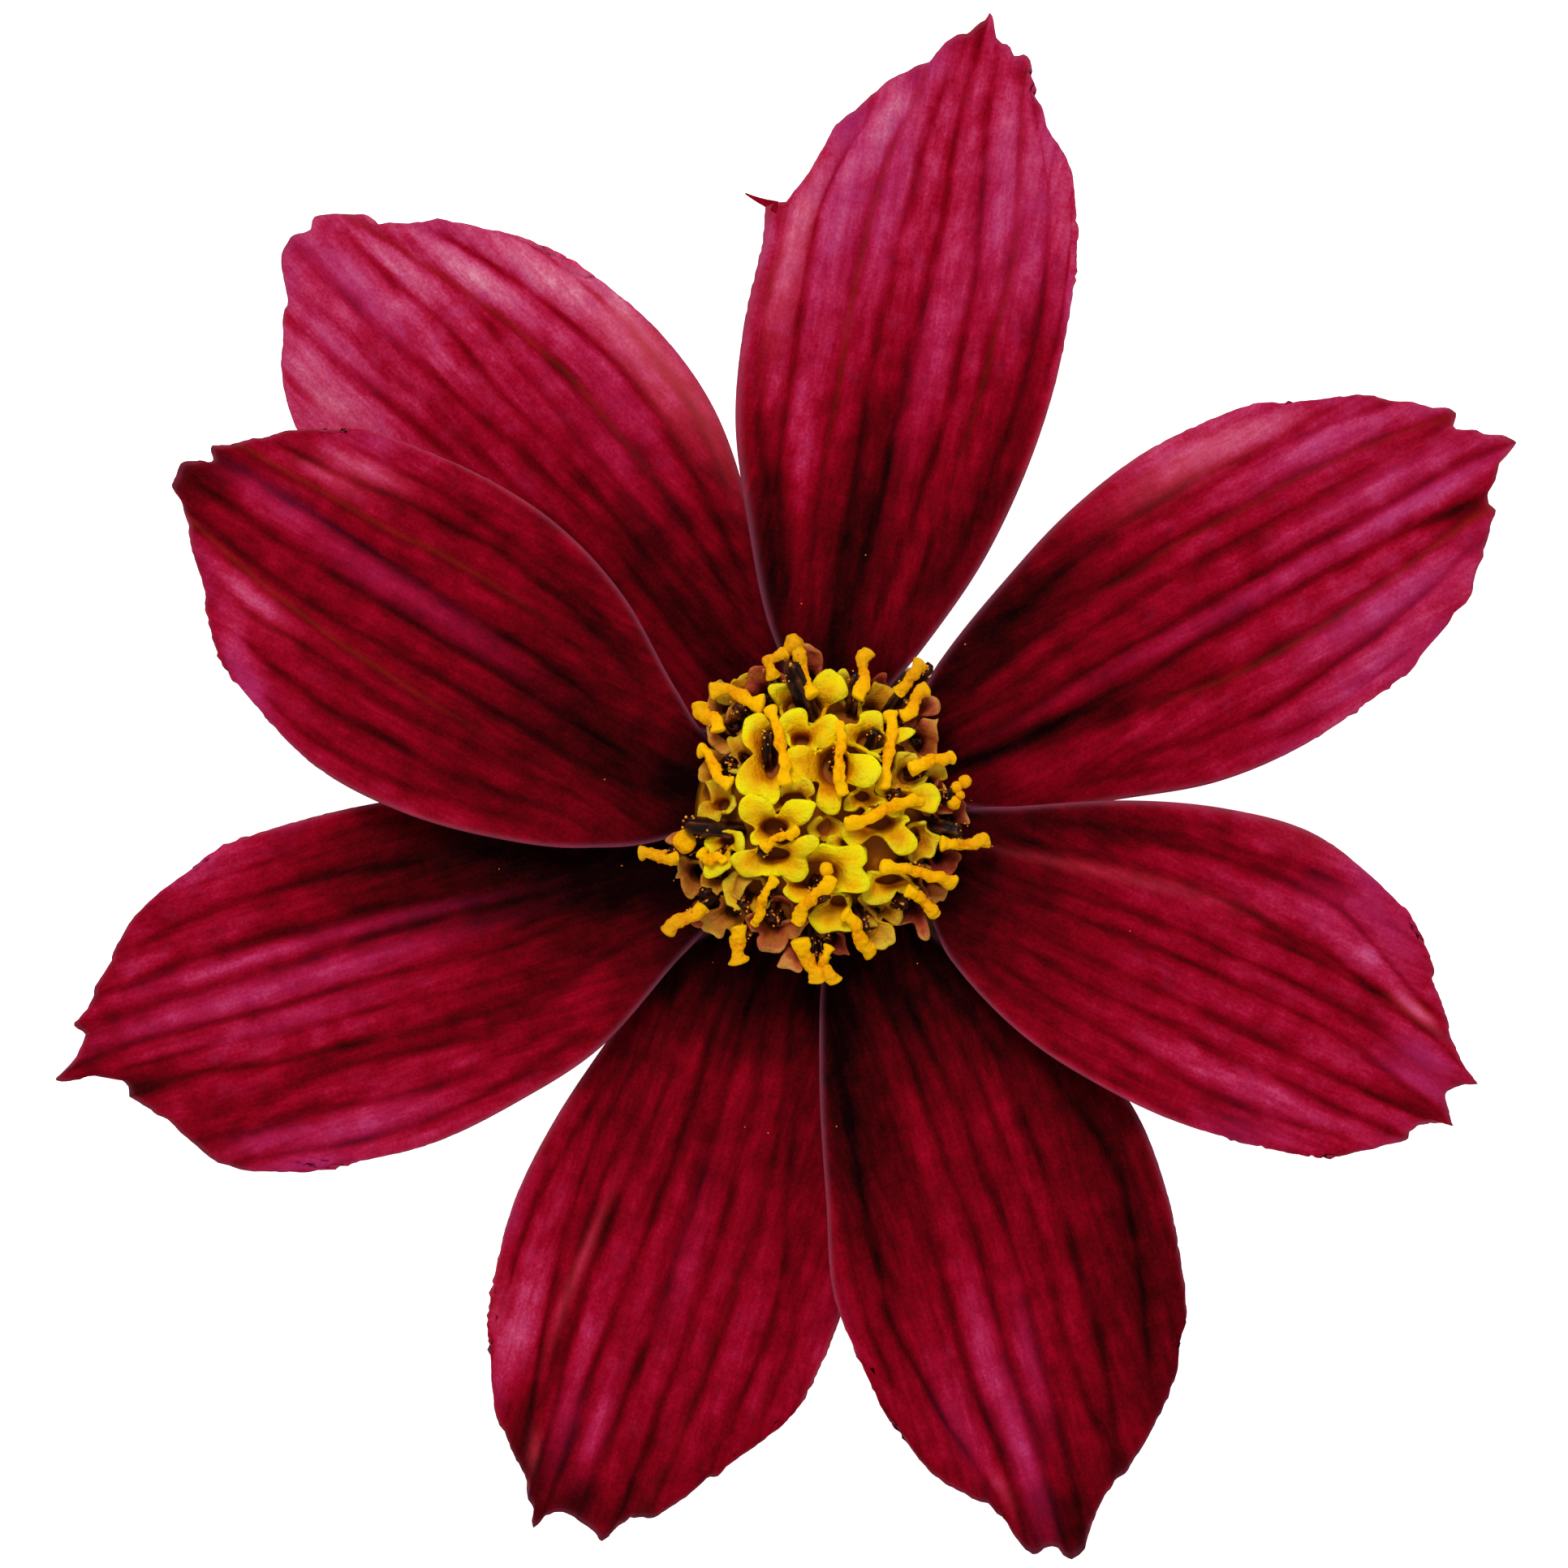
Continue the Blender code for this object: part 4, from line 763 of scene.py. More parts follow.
# Disc florets as seen from above: mouth's x, y and half-widths, lift of the mouth, ripeness from 0, yellow,
# to 1, tan, and the lobes: bearing, half-width and curl in degrees, and length.
florets = (
    (-1.42, 1.95, 0.36, 0.8, 0.1, 0.0, ((140, 44, 105, 0.75), (222, 40, 120, 1.05), (276, 26, 125, 0.8),
        (15, 45, 60, 0.35))),
    (-0.5, 2.45, 0.34, 0.28, 0.15, 0.0, ((108, 52, 95, 0.7), (12, 46, 115, 1.1), (298, 42, 100, 0.55),
        (192, 36, 90, 0.4))),
    (0.55, 1.55, 0.5, 0.62, 0.2, 0.0, ((181, 42, 105, 1.15), (264, 36, 115, 1.0), (352, 38, 95, 1.15),
        (85, 26, 60, 0.25))),
    (-0.75, 0.48, 0.5, 0.28, -0.1, 0.2, ((75, 62, 65, 0.5), (190, 40, 70, 0.3))),
    (-1.35, -0.38, 0.45, 0.33, 0.15, 0.0, ((128, 50, 105, 1.0), (33, 40, 88, 1.15), (225, 35, 80, 0.4))),
    (-1.35, -1.25, 0.52, 0.3, 0.2, 0.0, ((200, 56, 130, 0.95), (330, 44, 120, 0.85), (25, 30, 95, 1.2),
        (270, 30, 80, 0.35))),
    (0.0, -1.9, 0.74, 0.48, 0.0, 0.0, ((30, 30, 112, 1.2), (346, 26, 100, 1.05), (318, 11, 60, 0.45),
        (236, 42, 80, 0.6), (66, 32, 70, 0.7), (165, 30, 70, 0.35))),
    (2.0, -0.2, 0.55, 0.3, 0.0, 0.05, ((214, 40, 112, 0.85), (308, 34, 105, 1.05), (5, 30, 60, 0.5),
        (100, 40, 60, 0.3))),
    (2.6, 0.55, 0.4, 0.25, 0.0, 0.05, ((352, 48, 112, 1.05), (150, 40, 80, 0.5), (255, 40, 90, 0.45))),
    (2.4, -2.05, 0.5, 0.22, 0.0, 0.15, ((232, 52, 100, 0.65), (168, 36, 70, 0.4), (320, 40, 80, 0.45))),
    (1.75, 2.4, 0.48, 0.36, 0.05, 0.05, ((168, 44, 120, 0.6), (92, 46, 105, 0.5), (5, 26, 80, 0.95),
        (295, 44, 80, 0.5))),
    (-2.98, 0.38, 0.26, 0.24, 0.0, 0.3, ((100, 62, 110, 0.6), (222, 60, 115, 0.6), (340, 50, 100, 0.4))),
    (-2.25, 1.82, 0.25, 0.25, -0.1, 0.45, ((110, 62, 95, 0.35), (215, 56, 90, 0.35), (330, 45, 80, 0.3))),
    (-0.4, 3.4, 0.62, 0.45, -0.1, 0.05, ((42, 44, 105, 1.1), (138, 34, 60, 0.65), (300, 30, 60, 0.3))),
    (1.15, 3.75, 0.3, 0.3, -0.1, 0.3, ((112, 36, 70, 0.65), (200, 40, 60, 0.3))),
    (1.8, 3.35, 0.4, 0.36, -0.1, 0.45, ((58, 50, 85, 0.55), (150, 40, 80, 0.35), (330, 40, 70, 0.4))),
    (2.9, 1.3, 0.3, 0.3, -0.1, 0.3, ((90, 60, 85, 0.55), (205, 56, 90, 0.45), (322, 50, 80, 0.5))),
    (0.75, -2.75, 0.34, 0.25, -0.1, 0.12, ((226, 50, 100, 0.85), (292, 36, 85, 0.75), (60, 40, 70, 0.3))),
    (-2.85, -0.8, 0.28, 0.24, 0.1, 0.05, ((262, 48, 85, 0.95), (5, 44, 90, 0.6), (195, 40, 80, 0.45))),
    (-1.95, -2.3, 0.42, 0.38, -0.1, 0.35, ((200, 46, 65, 0.7), (150, 30, 60, 0.5), (300, 40, 70, 0.4))),
    (-2.3, 3.8, 0.3, 0.25, -0.1, 0.4, ((95, 60, 95, 0.5), (190, 44, 80, 0.45), (330, 40, 70, 0.4))),
    (3.6, 1.05, 0.25, 0.22, -0.2, 0.45, ((60, 55, 95, 0.45), (320, 50, 80, 0.5), (190, 50, 70, 0.3))),
    (3.15, -0.7, 0.25, 0.35, -0.2, 0.3, ((345, 55, 70, 0.5), (60, 36, 60, 0.45), (260, 44, 60, 0.4))),
    (1.05, -0.9, 0.25, 0.22, -0.3, 0.15, ((190, 60, 90, 0.5), (60, 50, 90, 0.45), (310, 50, 80, 0.4))),
    (1.5, 0.62, 0.28, 0.2, -0.1, 0.12, ((200, 50, 85, 0.5), (85, 50, 80, 0.4), (320, 54, 85, 0.5))),
    (0.25, -0.35, 0.24, 0.3, -0.35, 0.2, ((180, 60, 60, 0.4), (0, 60, 60, 0.4))),
    (1.9, -3.0, 0.4, 0.2, -0.2, 0.5, ((100, 60, 80, 0.4), (245, 60, 70, 0.45), (345, 40, 70, 0.5))),
    (1.65, -3.35, 0.28, 0.32, -0.1, 0.5, ((318, 50, 70, 0.85), (250, 40, 80, 0.5))),
    (-2.95, -1.85, 0.4, 0.25, -0.1, 0.65, ((235, 56, 90, 0.6), (320, 46, 80, 0.75), (130, 50, 70, 0.4))),
    (-3.8, -1.85, 0.3, 0.32, -0.1, 0.75, ((160, 56, 105, 0.4), (245, 46, 100, 0.45), (330, 44, 90, 0.5))),
    (-1.2, -3.2, 0.5, 0.42, -0.15, 0.9, ((252, 52, 100, 0.7), (330, 44, 90, 0.6), (180, 44, 90, 0.6),
        (70, 44, 60, 0.4))),
    (-2.7, -3.1, 0.28, 0.25, -0.15, 0.7, ((215, 56, 90, 0.55), (310, 50, 95, 0.5), (90, 50, 80, 0.4))),
    (-3.3, -2.85, 0.25, 0.22, -0.2, 1.0, ((215, 50, 80, 0.75), (320, 44, 80, 0.4), (120, 50, 70, 0.3))),
    (-0.5, -4.0, 0.25, 0.22, -0.2, 1.0, ((256, 44, 60, 1.0), (340, 44, 80, 0.4), (140, 50, 80, 0.4))),
    (0.4, -3.85, 0.34, 0.26, -0.2, 1.0, ((235, 50, 95, 0.45), (310, 50, 90, 0.55), (90, 50, 80, 0.4))),
    (3.0, -2.8, 0.3, 0.26, -0.2, 1.0, ((300, 40, 70, 0.95), (235, 44, 80, 0.55), (20, 50, 80, 0.45))),
    (3.55, -2.1, 0.25, 0.25, -0.1, 0.75, ((350, 56, 95, 0.45), (280, 44, 90, 0.45), (120, 60, 80, 0.4))),
    (3.9, -1.3, 0.26, 0.24, -0.2, 1.0, ((350, 56, 85, 0.5), (280, 50, 90, 0.5), (110, 60, 80, 0.4))),
    (4.15, -0.1, 0.3, 0.28, -0.2, 1.0, ((25, 56, 95, 0.5), (310, 50, 100, 0.5), (150, 60, 80, 0.4))),
    (3.8, 0.5, 0.25, 0.24, -0.15, 1.0, ((50, 56, 95, 0.45), (330, 50, 90, 0.45), (190, 60, 80, 0.4))),
    (3.25, 2.35, 0.3, 0.35, -0.1, 0.85, ((42, 56, 100, 0.55), (320, 50, 95, 0.5), (180, 60, 80, 0.4))),
    (3.05, 3.3, 0.26, 0.26, -0.15, 1.0, ((20, 56, 90, 0.55), (100, 50, 90, 0.4), (250, 60, 80, 0.4))),
    (1.9, 4.05, 0.2, 0.16, -0.2, 1.0, ((30, 60, 80, 0.4), (130, 50, 80, 0.3))),
    (-0.2, 4.45, 0.24, 0.24, -0.2, 1.0, ((78, 46, 55, 0.95), (170, 50, 80, 0.4))),
    (-1.55, 3.75, 0.4, 0.34, -0.05, 0.95, ((102, 50, 100, 0.75), (170, 46, 95, 0.65), (40, 40, 90, 0.6))),
    (-2.75, 3.45, 0.25, 0.22, -0.2, 0.7, ((120, 60, 95, 0.45), (200, 50, 90, 0.4))),
    (-2.55, 2.8, 0.34, 0.36, -0.05, 0.75, ((190, 56, 95, 0.6), (262, 46, 95, 0.65), (100, 46, 80, 0.4))),
    (-3.0, 1.5, 0.28, 0.3, -0.1, 0.65, ((110, 50, 100, 0.45), (195, 56, 105, 0.35), (285, 50, 90, 0.4))),
    (-3.9, -0.75, 0.22, 0.2, -0.3, 0.9, ((180, 60, 90, 0.4), (270, 60, 90, 0.4))),
)
# Ripe styles: (x, y) of one end, of the middle and of the other end, and thickness.
styles = (
    ((-0.9, 5.25), (-1.55, 4.95), (-1.3, 4.4), 0.95), ((-0.7, 5.55), (-0.45, 4.7), (-0.08, 3.75), 1.15),
    ((1.75, 5.35), (1.55, 4.6), (1.25, 3.75), 1.05), ((3.45, 4.95), (3.05, 4.45), (2.6, 3.9), 1.1),
    ((3.65, 4.1), (3.2, 3.65), (2.7, 3.15), 1.0), ((-3.45, 4.0), (-2.5, 3.95), (-1.6, 3.6), 1.1),
    ((-3.7, 3.65), (-3.45, 3.15), (-3.1, 2.65), 1.1), ((-3.75, 2.15), (-3.25, 1.6), (-2.65, 1.0), 1.1),
    ((-1.45, 3.55), (-1.1, 2.3), (-0.95, 0.9), 0.85), ((0.7, 3.05), (0.75, 1.9), (0.9, 0.6), 0.72),
    ((2.4, 3.4), (2.35, 2.1), (2.15, 0.8), 0.85), ((2.95, 1.45), (3.6, 1.75), (4.45, 1.9), 1.0),
    ((0.85, -0.25), (2.1, 0.15), (3.5, 0.5), 0.85), ((3.95, -0.9), (4.8, -0.95), (5.6, -0.7), 0.95),
    ((2.0, -1.6), (3.3, -1.8), (4.55, -2.15), 0.95), ((2.85, -2.35), (3.4, -2.7), (3.9, -3.25), 0.9),
    ((0.85, -3.05), (1.35, -3.75), (1.85, -4.45), 1.1), ((0.55, -1.9), (0.0, -2.5), (-0.6, -3.5), 0.9),
    ((-0.5, -3.9), (-0.2, -4.7), (0.05, -5.4), 1.15), ((0.5, -4.15), (0.25, -4.75), (0.65, -5.4), 1.0),
    ((-1.25, -1.95), (-1.75, -2.85), (-2.05, -3.5), 0.75), ((-2.5, -3.5), (-2.5, -4.1), (-2.4, -4.75), 1.3),
    ((-3.6, -2.85), (-4.2, -3.3), (-4.8, -3.85), 1.05), ((-5.7, -1.2), (-5.1, -1.3), (-4.4, -1.35), 1.0),
    ((-3.75, -1.2), (-3.3, -1.35), (-2.9, -1.5), 0.9), ((-0.5, -0.45), (-1.2, -0.7), (-1.75, -1.0), 0.75),
)
# Curled-up style ends seen as rough knobs: x, y and radius.
knobs = (
    (-4.2, -0.83, 0.36), (4.54, 0.92, 0.2), (4.8, 1.08, 0.22), (4.48, 0.4, 0.22), (4.66, 0.66, 0.17),
    (-0.72, 5.5, 0.36), (0.35, -1.7, 0.22),
)
# Anther tubes free of a ripe style: (x, y) of foot and top, height of the top over the dome, and radius.
bareAnthers = (
    (-0.15, 2.95, -0.88, 5.0, 1.45, 0.37), (1.15, 3.2, 1.38, 4.65, 0.75, 0.29),
    (-1.9, 3.0, -2.6, 3.6, 0.85, 0.3), (-1.5, 1.5, -1.5, 2.75, 0.6, 0.22),
    (1.75, 2.1, 1.97, 2.75, 0.6, 0.28), (-2.2, -0.5, -4.3, -0.28, 1.2, 0.35),
    (3.4, -0.25, 4.75, -0.55, 1.0, 0.33), (2.2, 0.5, 2.75, 0.75, 0.7, 0.25),
    (0.0, -2.0, 0.35, -2.7, 0.75, 0.25), (1.3, -2.9, 1.6, -3.7, 0.8, 0.26),
    (2.5, -2.5, 2.95, -2.95, 0.7, 0.25), (-3.1, -2.3, -3.7, -2.6, 0.75, 0.28),
    (-2.2, -2.5, -2.4, -2.95, 0.65, 0.26), (-1.3, -2.8, -1.45, -3.35, 0.65, 0.27),
    (-2.4, 1.3, -2.95, 1.9, 0.7, 0.24), (3.0, 1.3, 3.5, 1.5, 0.65, 0.24),
    (-1.5, -0.9, -1.75, -1.15, 0.75, 0.22), (0.7, 1.5, 0.8, 2.2, 0.55, 0.22),
    (2.75, 3.95, 3.75, 4.85, 0.65, 0.26), (3.9, 0.6, 4.35, 0.7, 0.8, 0.24),
    (0.15, -3.3, 0.2, -3.9, 0.6, 0.24),
)
# Lengths are in millimetres and angles in degrees, but pollenSide, mean and spread, is in radians.
discBuild = dict(
    seat=2.3, coreRadius=2.7, underside=7.3, top=8.55, sag=0.085, edge=3.9, edgeSteps=10, coreSink=0.15,
    rimStep=0.1, rimInset=0.25,
    tubes=26, tubeRing=2.85, tubeRadius=0.24, tubeJitter=0.3, tubeSwell=(0.9, 1.0, 1.05, 1.3),
    tubeRun=((0.0, 2.5), (0.0, 4.8), (0.05, 6.6), (0.65, 7.45)),
    cupColumns=36, cupRows=9, cupWall=0.13, cleft=0.06, cleftCurl=80, mouthRow=0.33, mouthRise=0.25,
    mouthWidth=1.12, depth=0.6, funnel=0.8, funnelPower=1.5, lean=0.25, leanOut=0.08,
    lobeLength=1.12, lobeWidth=0.86, lobeStart=14, curlMore=12, scoop=0.22, crease=(0.02, 0.07),
    crumple=0.16, fineCrumple=(0.06, 0.13), ripeCrumple=1.6,
    styleKnob=0.28, styleWaist=0.2, styleFork=0.2, styleClearance=1.2, styleLowest=7.6, styleEdge=4.6,
    styleDroops=(0.16, 0.02, 0.16), styleAside=0.12, styleArch=0.06, styleFlat=0.75, styleWrinkle=0.14,
    knobRange=(0.92, 1.1), waistRange=(0.9, 1.12), lastKnobRange=(0.9, 1.05),
    stalk=(0.15, 0.17), stalkFrom=0.62, stalkSink=0.05, knobDroop=0.25, knobRough=0.35, knobShare=0.3,
    antherRadius=0.23, antherInset=0.8, antherSpread=3.5, antherLift=0.3, antherReach=0.86,
    antherSwell=(0.9, 1.0, 0.75), antherArch=0.08, antherEdge=4.4, antherLowest=7.35, antherSink=0.2,
    bareSink=0.1, shortTubesFrom=0.3, shortTubeFoot=0.8, shortTubeTop=0.12, shortTubeWidth=0.7,
    shortTubeSplay=1.02, shortTubeShift=0.05,
    pollen=480, pollenRadius=0.035, pollenSizes=(0.8, 1.6), pollenTop=1.02, pollenSpan=0.6,
    pollenCrowding=1.5, pollenSide=(1.0, 1.2), pollenOut=(0.85, 1.05),
    stray=24, straySizes=(0.6, 1.1), strayRing=(4.6, 6.5), strayCrowding=2.2, strayFrom=20.0,
    strayLift=0.015,
)


def domeHeight(out):
    return discBuild["top"] - discBuild["sag"] * out * out


def frameOf(direction):
    return direction.to_track_quat("Z", "Y").to_matrix()


def addTube(bm, points, radii, columns, rows, wrinkle=0.0, seed=0, layer=None, ribs=0, ribDepth=0.0,
            flat=1.0):
    # a closed rod with blunt ends along a smooth path; layer gets the share of the length,
    # or on a ribbed rod 1 on the ribs and 0 between them
    places = [0.0]
    for a, b in zip(points, points[1:]):
        places.append(places[-1] + (b - a).length)
    total = places[-1]

    def centre(at):
        return Vector([curveThrough(places, [p[k] for p in points], at) for k in range(3)])

    def shape(vert, across, along):
        at = along * total
        ahead = centre(min(total, at + 0.02)) - centre(max(0.0, at - 0.02))
        turn = frameOf(ahead.normalized())
        cap = math.sqrt(max(0.0, 1 - (1 - min(1.0, min(at, total - at) / (0.35 * radii[0]))) ** 2))
        angle = 2 * math.pi * across
        rib = 0.5 - 0.5 * math.cos(ribs * angle)
        radius = curveThrough(places, radii, at) * cap * (1 - ribDepth * (1 - rib))
        around = Vector((math.cos(angle), math.sin(angle) * flat, 0.0))
        place = centre(at) + turn @ (around * radius)
        if wrinkle and cap > 0:
            push = noise.noise(place * 2.6 + Vector((seed, 0.0, 0.0))) + 0.6 * noise.noise(place * 9.0)
            place += turn @ around * wrinkle * push * cap
        vert.co = place
        if layer is not None:
            vert[layer] = rib if ribs else along

    addSheet(bm, columns, rows, shape, closed=True)


def makeCorollas(name, chosen, material):
    b = discBuild
    bm = bmesh.new()
    reachLayer = bm.verts.layers.float.new("reach")
    ripeLayer = bm.verts.layers.float.new("ripe")
    for index in chosen:
        x, y, halfX, halfY, lift, ripe, lobes = florets[index]
        halfX, halfY = halfX * b["mouthWidth"], halfY * b["mouthWidth"]
        rng = random.Random(index * 7 + 3)
        mouth = Vector((x, y, domeHeight(math.hypot(x, y)) + b["mouthRise"] + lift))
        lean = polar(rng.uniform(0, 2 * math.pi), rng.uniform(0.0, b["lean"]))
        outward = Vector((x * b["leanOut"], y * b["leanOut"], 1.0))
        turn = Vector((0, 0, 1)).rotation_difference(outward + lean)
        creases = [rng.uniform(*b["crease"]) for _ in lobes]

        def shape(vert, across, along):
            angle = 2 * math.pi * across
            length, width, aside, curl, fold = b["cleft"], 0.0, 1.0, b["cleftCurl"], 0.0
            for lobe, (bearing, half, bend, reachOut) in enumerate(lobes):
                away = abs((math.degrees(angle) - bearing + 180) % 360 - 180) / (half * b["lobeWidth"])
                if away < 1:
                    full = (1 - away**2.6) ** 0.6
                    reachNow = b["cleft"] + b["lobeLength"] * reachOut * full
                    if reachNow > length:
                        length, width, aside = reachNow, full, away
                        curl, fold = bend, creases[lobe]
            if along < b["mouthRow"]:
                share = along / b["mouthRow"]
                narrow = b["funnel"] + (1 - b["funnel"]) * share ** b["funnelPower"]
                acrossX, acrossY, height = halfX * narrow, halfY * narrow, b["depth"] * (share - 1)
                reach = share - 1
            else:
                share = (along - b["mouthRow"]) / (1 - b["mouthRow"])
                start = math.radians(b["lobeStart"])
                bend = math.radians(curl + b["curlMore"]) - start
                now = start + bend * share
                out = length * (math.cos(start) - math.cos(now)) / bend
                acrossX, acrossY = halfX + out, halfY + out
                height = length * (math.sin(now) - math.sin(start)) / bend
                # raised margins and a low middle
                height += (b["scoop"] * aside**2 - fold * (1 - aside) ** 2) * share
                # painted highlight: lobe margins and curled ends get a higher reach and so a brighter lemon;
                # the low reach down the throat gives orange-brown, partly pigment and partly painted shade
                lit = smoothStep(max(share, aside), 0.3, 0.95)
                reach = share**0.8 * (0.45 + 0.55 * lit) * (0.35 + 0.65 * width)
            place = mouth + turn @ Vector((math.cos(angle) * acrossX, math.sin(angle) * acrossY, height))
            crumple = max(0.0, reach) * (1 + b["ripeCrumple"] * ripe)
            place += noise.noise_vector(place * 1.3) * b["crumple"] * crumple
            everywhere, more = b["fineCrumple"]
            place += noise.noise_vector(place * 2.6) * (everywhere + more * crumple)
            vert.co = place
            vert[reachLayer] = reach
            vert[ripeLayer] = ripe

        verts = addSheet(bm, b["cupColumns"], b["cupRows"], shape)
        bmesh.ops.remove_doubles(bm, verts=verts, dist=weld)
    finishPiece(name, bm, material, wall=b["cupWall"], levels=1)


def stylePoint(place, droop=0.0):
    b = discBuild
    out = min(math.hypot(*place), b["styleEdge"])
    return Vector((*place, max(domeHeight(out) + b["styleClearance"] - droop, b["styleLowest"])))


def makeStyles(material):
    b = discBuild
    bm = bmesh.new()
    knobLayer = bm.verts.layers.float.new("knob")
    for index, (*ends, thick) in enumerate(styles):
        rng = random.Random(index + 50)
        first, fork, last = (stylePoint(end, droop) for end, droop in zip(ends, b["styleDroops"]))
        side = (last - first).cross(Vector((0, 0, 1))).normalized()
        side *= rng.uniform(-b["styleAside"], b["styleAside"])
        arch = Vector((0, 0, b["styleArch"]))
        points = [first, first.lerp(fork, 0.5) + side + arch, fork, fork.lerp(last, 0.5) - side + arch, last]
        knob = b["styleKnob"] * rng.uniform(*b["knobRange"])
        waist = b["styleWaist"] * rng.uniform(*b["waistRange"])
        lastKnob = knob * rng.uniform(*b["lastKnobRange"])
        radii = [thick * radius for radius in (knob, waist, b["styleFork"], waist, lastKnob)]
        addTube(bm, points, radii, columns=14, rows=30, wrinkle=b["styleWrinkle"], seed=index * 3.1,
                layer=knobLayer, flat=b["styleFlat"])
        foot = antherFoot(fork)
        stalk = [foot + (fork - foot) * b["stalkFrom"], fork + Vector((0, 0, -b["stalkSink"]))]
        addTube(bm, stalk, b["stalk"], columns=8, rows=6, wrinkle=0.02, seed=index, layer=knobLayer)
    for x, y, radius in knobs:
        centre = stylePoint((x, y), b["knobDroop"])
        for vert in bmesh.ops.create_icosphere(bm, subdivisions=3, radius=radius)["verts"]:
            place = vert.co + centre
            push = noise.noise(place * 2.5) + 0.5 * noise.noise(place * 8.0)
            vert.co = centre + vert.co * (1 + b["knobRough"] * push)
            vert[knobLayer] = b["knobShare"]
    finishPiece("styles", bm, material, levels=1)


def antherFoot(fork):
    b = discBuild
    out = min(fork.xy.length * b["antherInset"], b["antherSpread"])
    return polar(math.atan2(fork.y, fork.x), out, domeHeight(out) - b["antherSink"])


def antherSpans():  # foot, top and radius of every anther tube
    b = discBuild
    spans = []
    for _, middle, _, _ in styles:
        fork = stylePoint(middle)
        foot = antherFoot(fork)
        spans.append((foot, foot.lerp(fork, b["antherReach"]), b["antherRadius"]))
    for footX, footY, topX, topY, height, radius in bareAnthers:
        foot = Vector((footX, footY, domeHeight(math.hypot(footX, footY)) - b["bareSink"]))
        out = min(math.hypot(topX, topY), b["antherEdge"])
        level = max(domeHeight(out) + height + b["antherLift"], b["antherLowest"])
        spans.append((foot, Vector((topX, topY, level)), radius))
    for x, y, halfX, halfY, _, ripe, _ in florets[::2]:  # short tubes still inside their cups
        if ripe < b["shortTubesFrom"]:
            continue
        level = domeHeight(math.hypot(x, y))
        foot = Vector((x, y, level - b["shortTubeFoot"]))
        splay = b["shortTubeSplay"]
        top = Vector((x * splay + b["shortTubeShift"], y * splay, level + b["shortTubeTop"]))
        spans.append((foot, top, b["shortTubeWidth"] * min(halfX, halfY)))
    return spans


def makeAnthers(material):
    b = discBuild
    bm = bmesh.new()
    ribLayer = bm.verts.layers.float.new("rib")
    for index, (foot, top, radius) in enumerate(antherSpans()):
        middle = foot.lerp(top, 0.5) + Vector((0, 0, b["antherArch"]))
        radii = [radius * swell for swell in b["antherSwell"]]
        addTube(bm, [foot, middle, top], radii, columns=20, rows=12, wrinkle=0.05, seed=index,
                layer=ribLayer, ribs=5, ribDepth=0.35)
    finishPiece("anther_tubes", bm, material)


def makeCore(material):
    b = discBuild
    bm = bmesh.new()
    steps = b["edgeSteps"]
    outs = [b["edge"] * i / steps for i in range(steps, -1, -1)]
    spinProfile(bm, [(0.0, b["seat"]), (b["coreRadius"], b["seat"]),
                     (b["coreRadius"], b["underside"] - b["rimStep"]),
                     (b["edge"] - b["rimInset"], b["underside"] + b["rimStep"])]
                + [(out, domeHeight(out) - b["coreSink"]) for out in outs])
    for i in range(b["tubes"]):
        bearing = 2 * math.pi * (i + b["tubeJitter"] * math.sin(i * 2.1)) / b["tubes"]
        points = [polar(bearing, b["tubeRing"] + out, height) for out, height in b["tubeRun"]]
        radii = [b["tubeRadius"] * swell for swell in b["tubeSwell"]]
        addTube(bm, points, radii, columns=10, rows=16, wrinkle=0.02, seed=i, ribs=5, ribDepth=0.1)
    finishPiece("disc_core", bm, material, ["disc_florets"])


def addGrain(bm, place, radius):
    verts = bmesh.ops.create_icosphere(bm, subdivisions=1, radius=radius)["verts"]
    bmesh.ops.translate(bm, verts=verts, vec=place)


def makePollen(material):
    b = discBuild
    rng = random.Random(11)
    bm = bmesh.new()
    spans = antherSpans()[:len(styles) + len(bareAnthers)]
    for _ in range(b["pollen"]):
        foot, top, radius = spans[rng.randrange(len(spans))]
        along = b["pollenTop"] - b["pollenSpan"] * rng.random() ** b["pollenCrowding"]
        turn = frameOf((top - foot).normalized())
        angle = rng.gauss(*b["pollenSide"])
        out = radius * rng.uniform(*b["pollenOut"])
        place = foot.lerp(top, along) + turn @ Vector((math.cos(angle) * out, math.sin(angle) * out, 0.0))
        addGrain(bm, place, b["pollenRadius"] * rng.uniform(*b["pollenSizes"]))
    graph = bpy.context.evaluated_depsgraph_get()
    trees = [BVHTree.FromObject(piece, graph) for piece in petalPieces]
    for _ in range(b["stray"]):
        nearest, spread = b["strayRing"]
        bearing = rng.uniform(0, 2 * math.pi)
        out = nearest + spread * rng.random() ** b["strayCrowding"]
        start = polar(bearing, out, b["strayFrom"]) * mm
        hits = [tree.ray_cast(start, Vector((0, 0, -1)))[0] for tree in trees]
        hits = [hit.z for hit in hits if hit]
        if hits:
            place = polar(bearing, out, max(hits) / mm + b["strayLift"])
            addGrain(bm, place, b["pollenRadius"] * rng.uniform(*b["straySizes"]))
    finishPiece("pollen", bm, material)


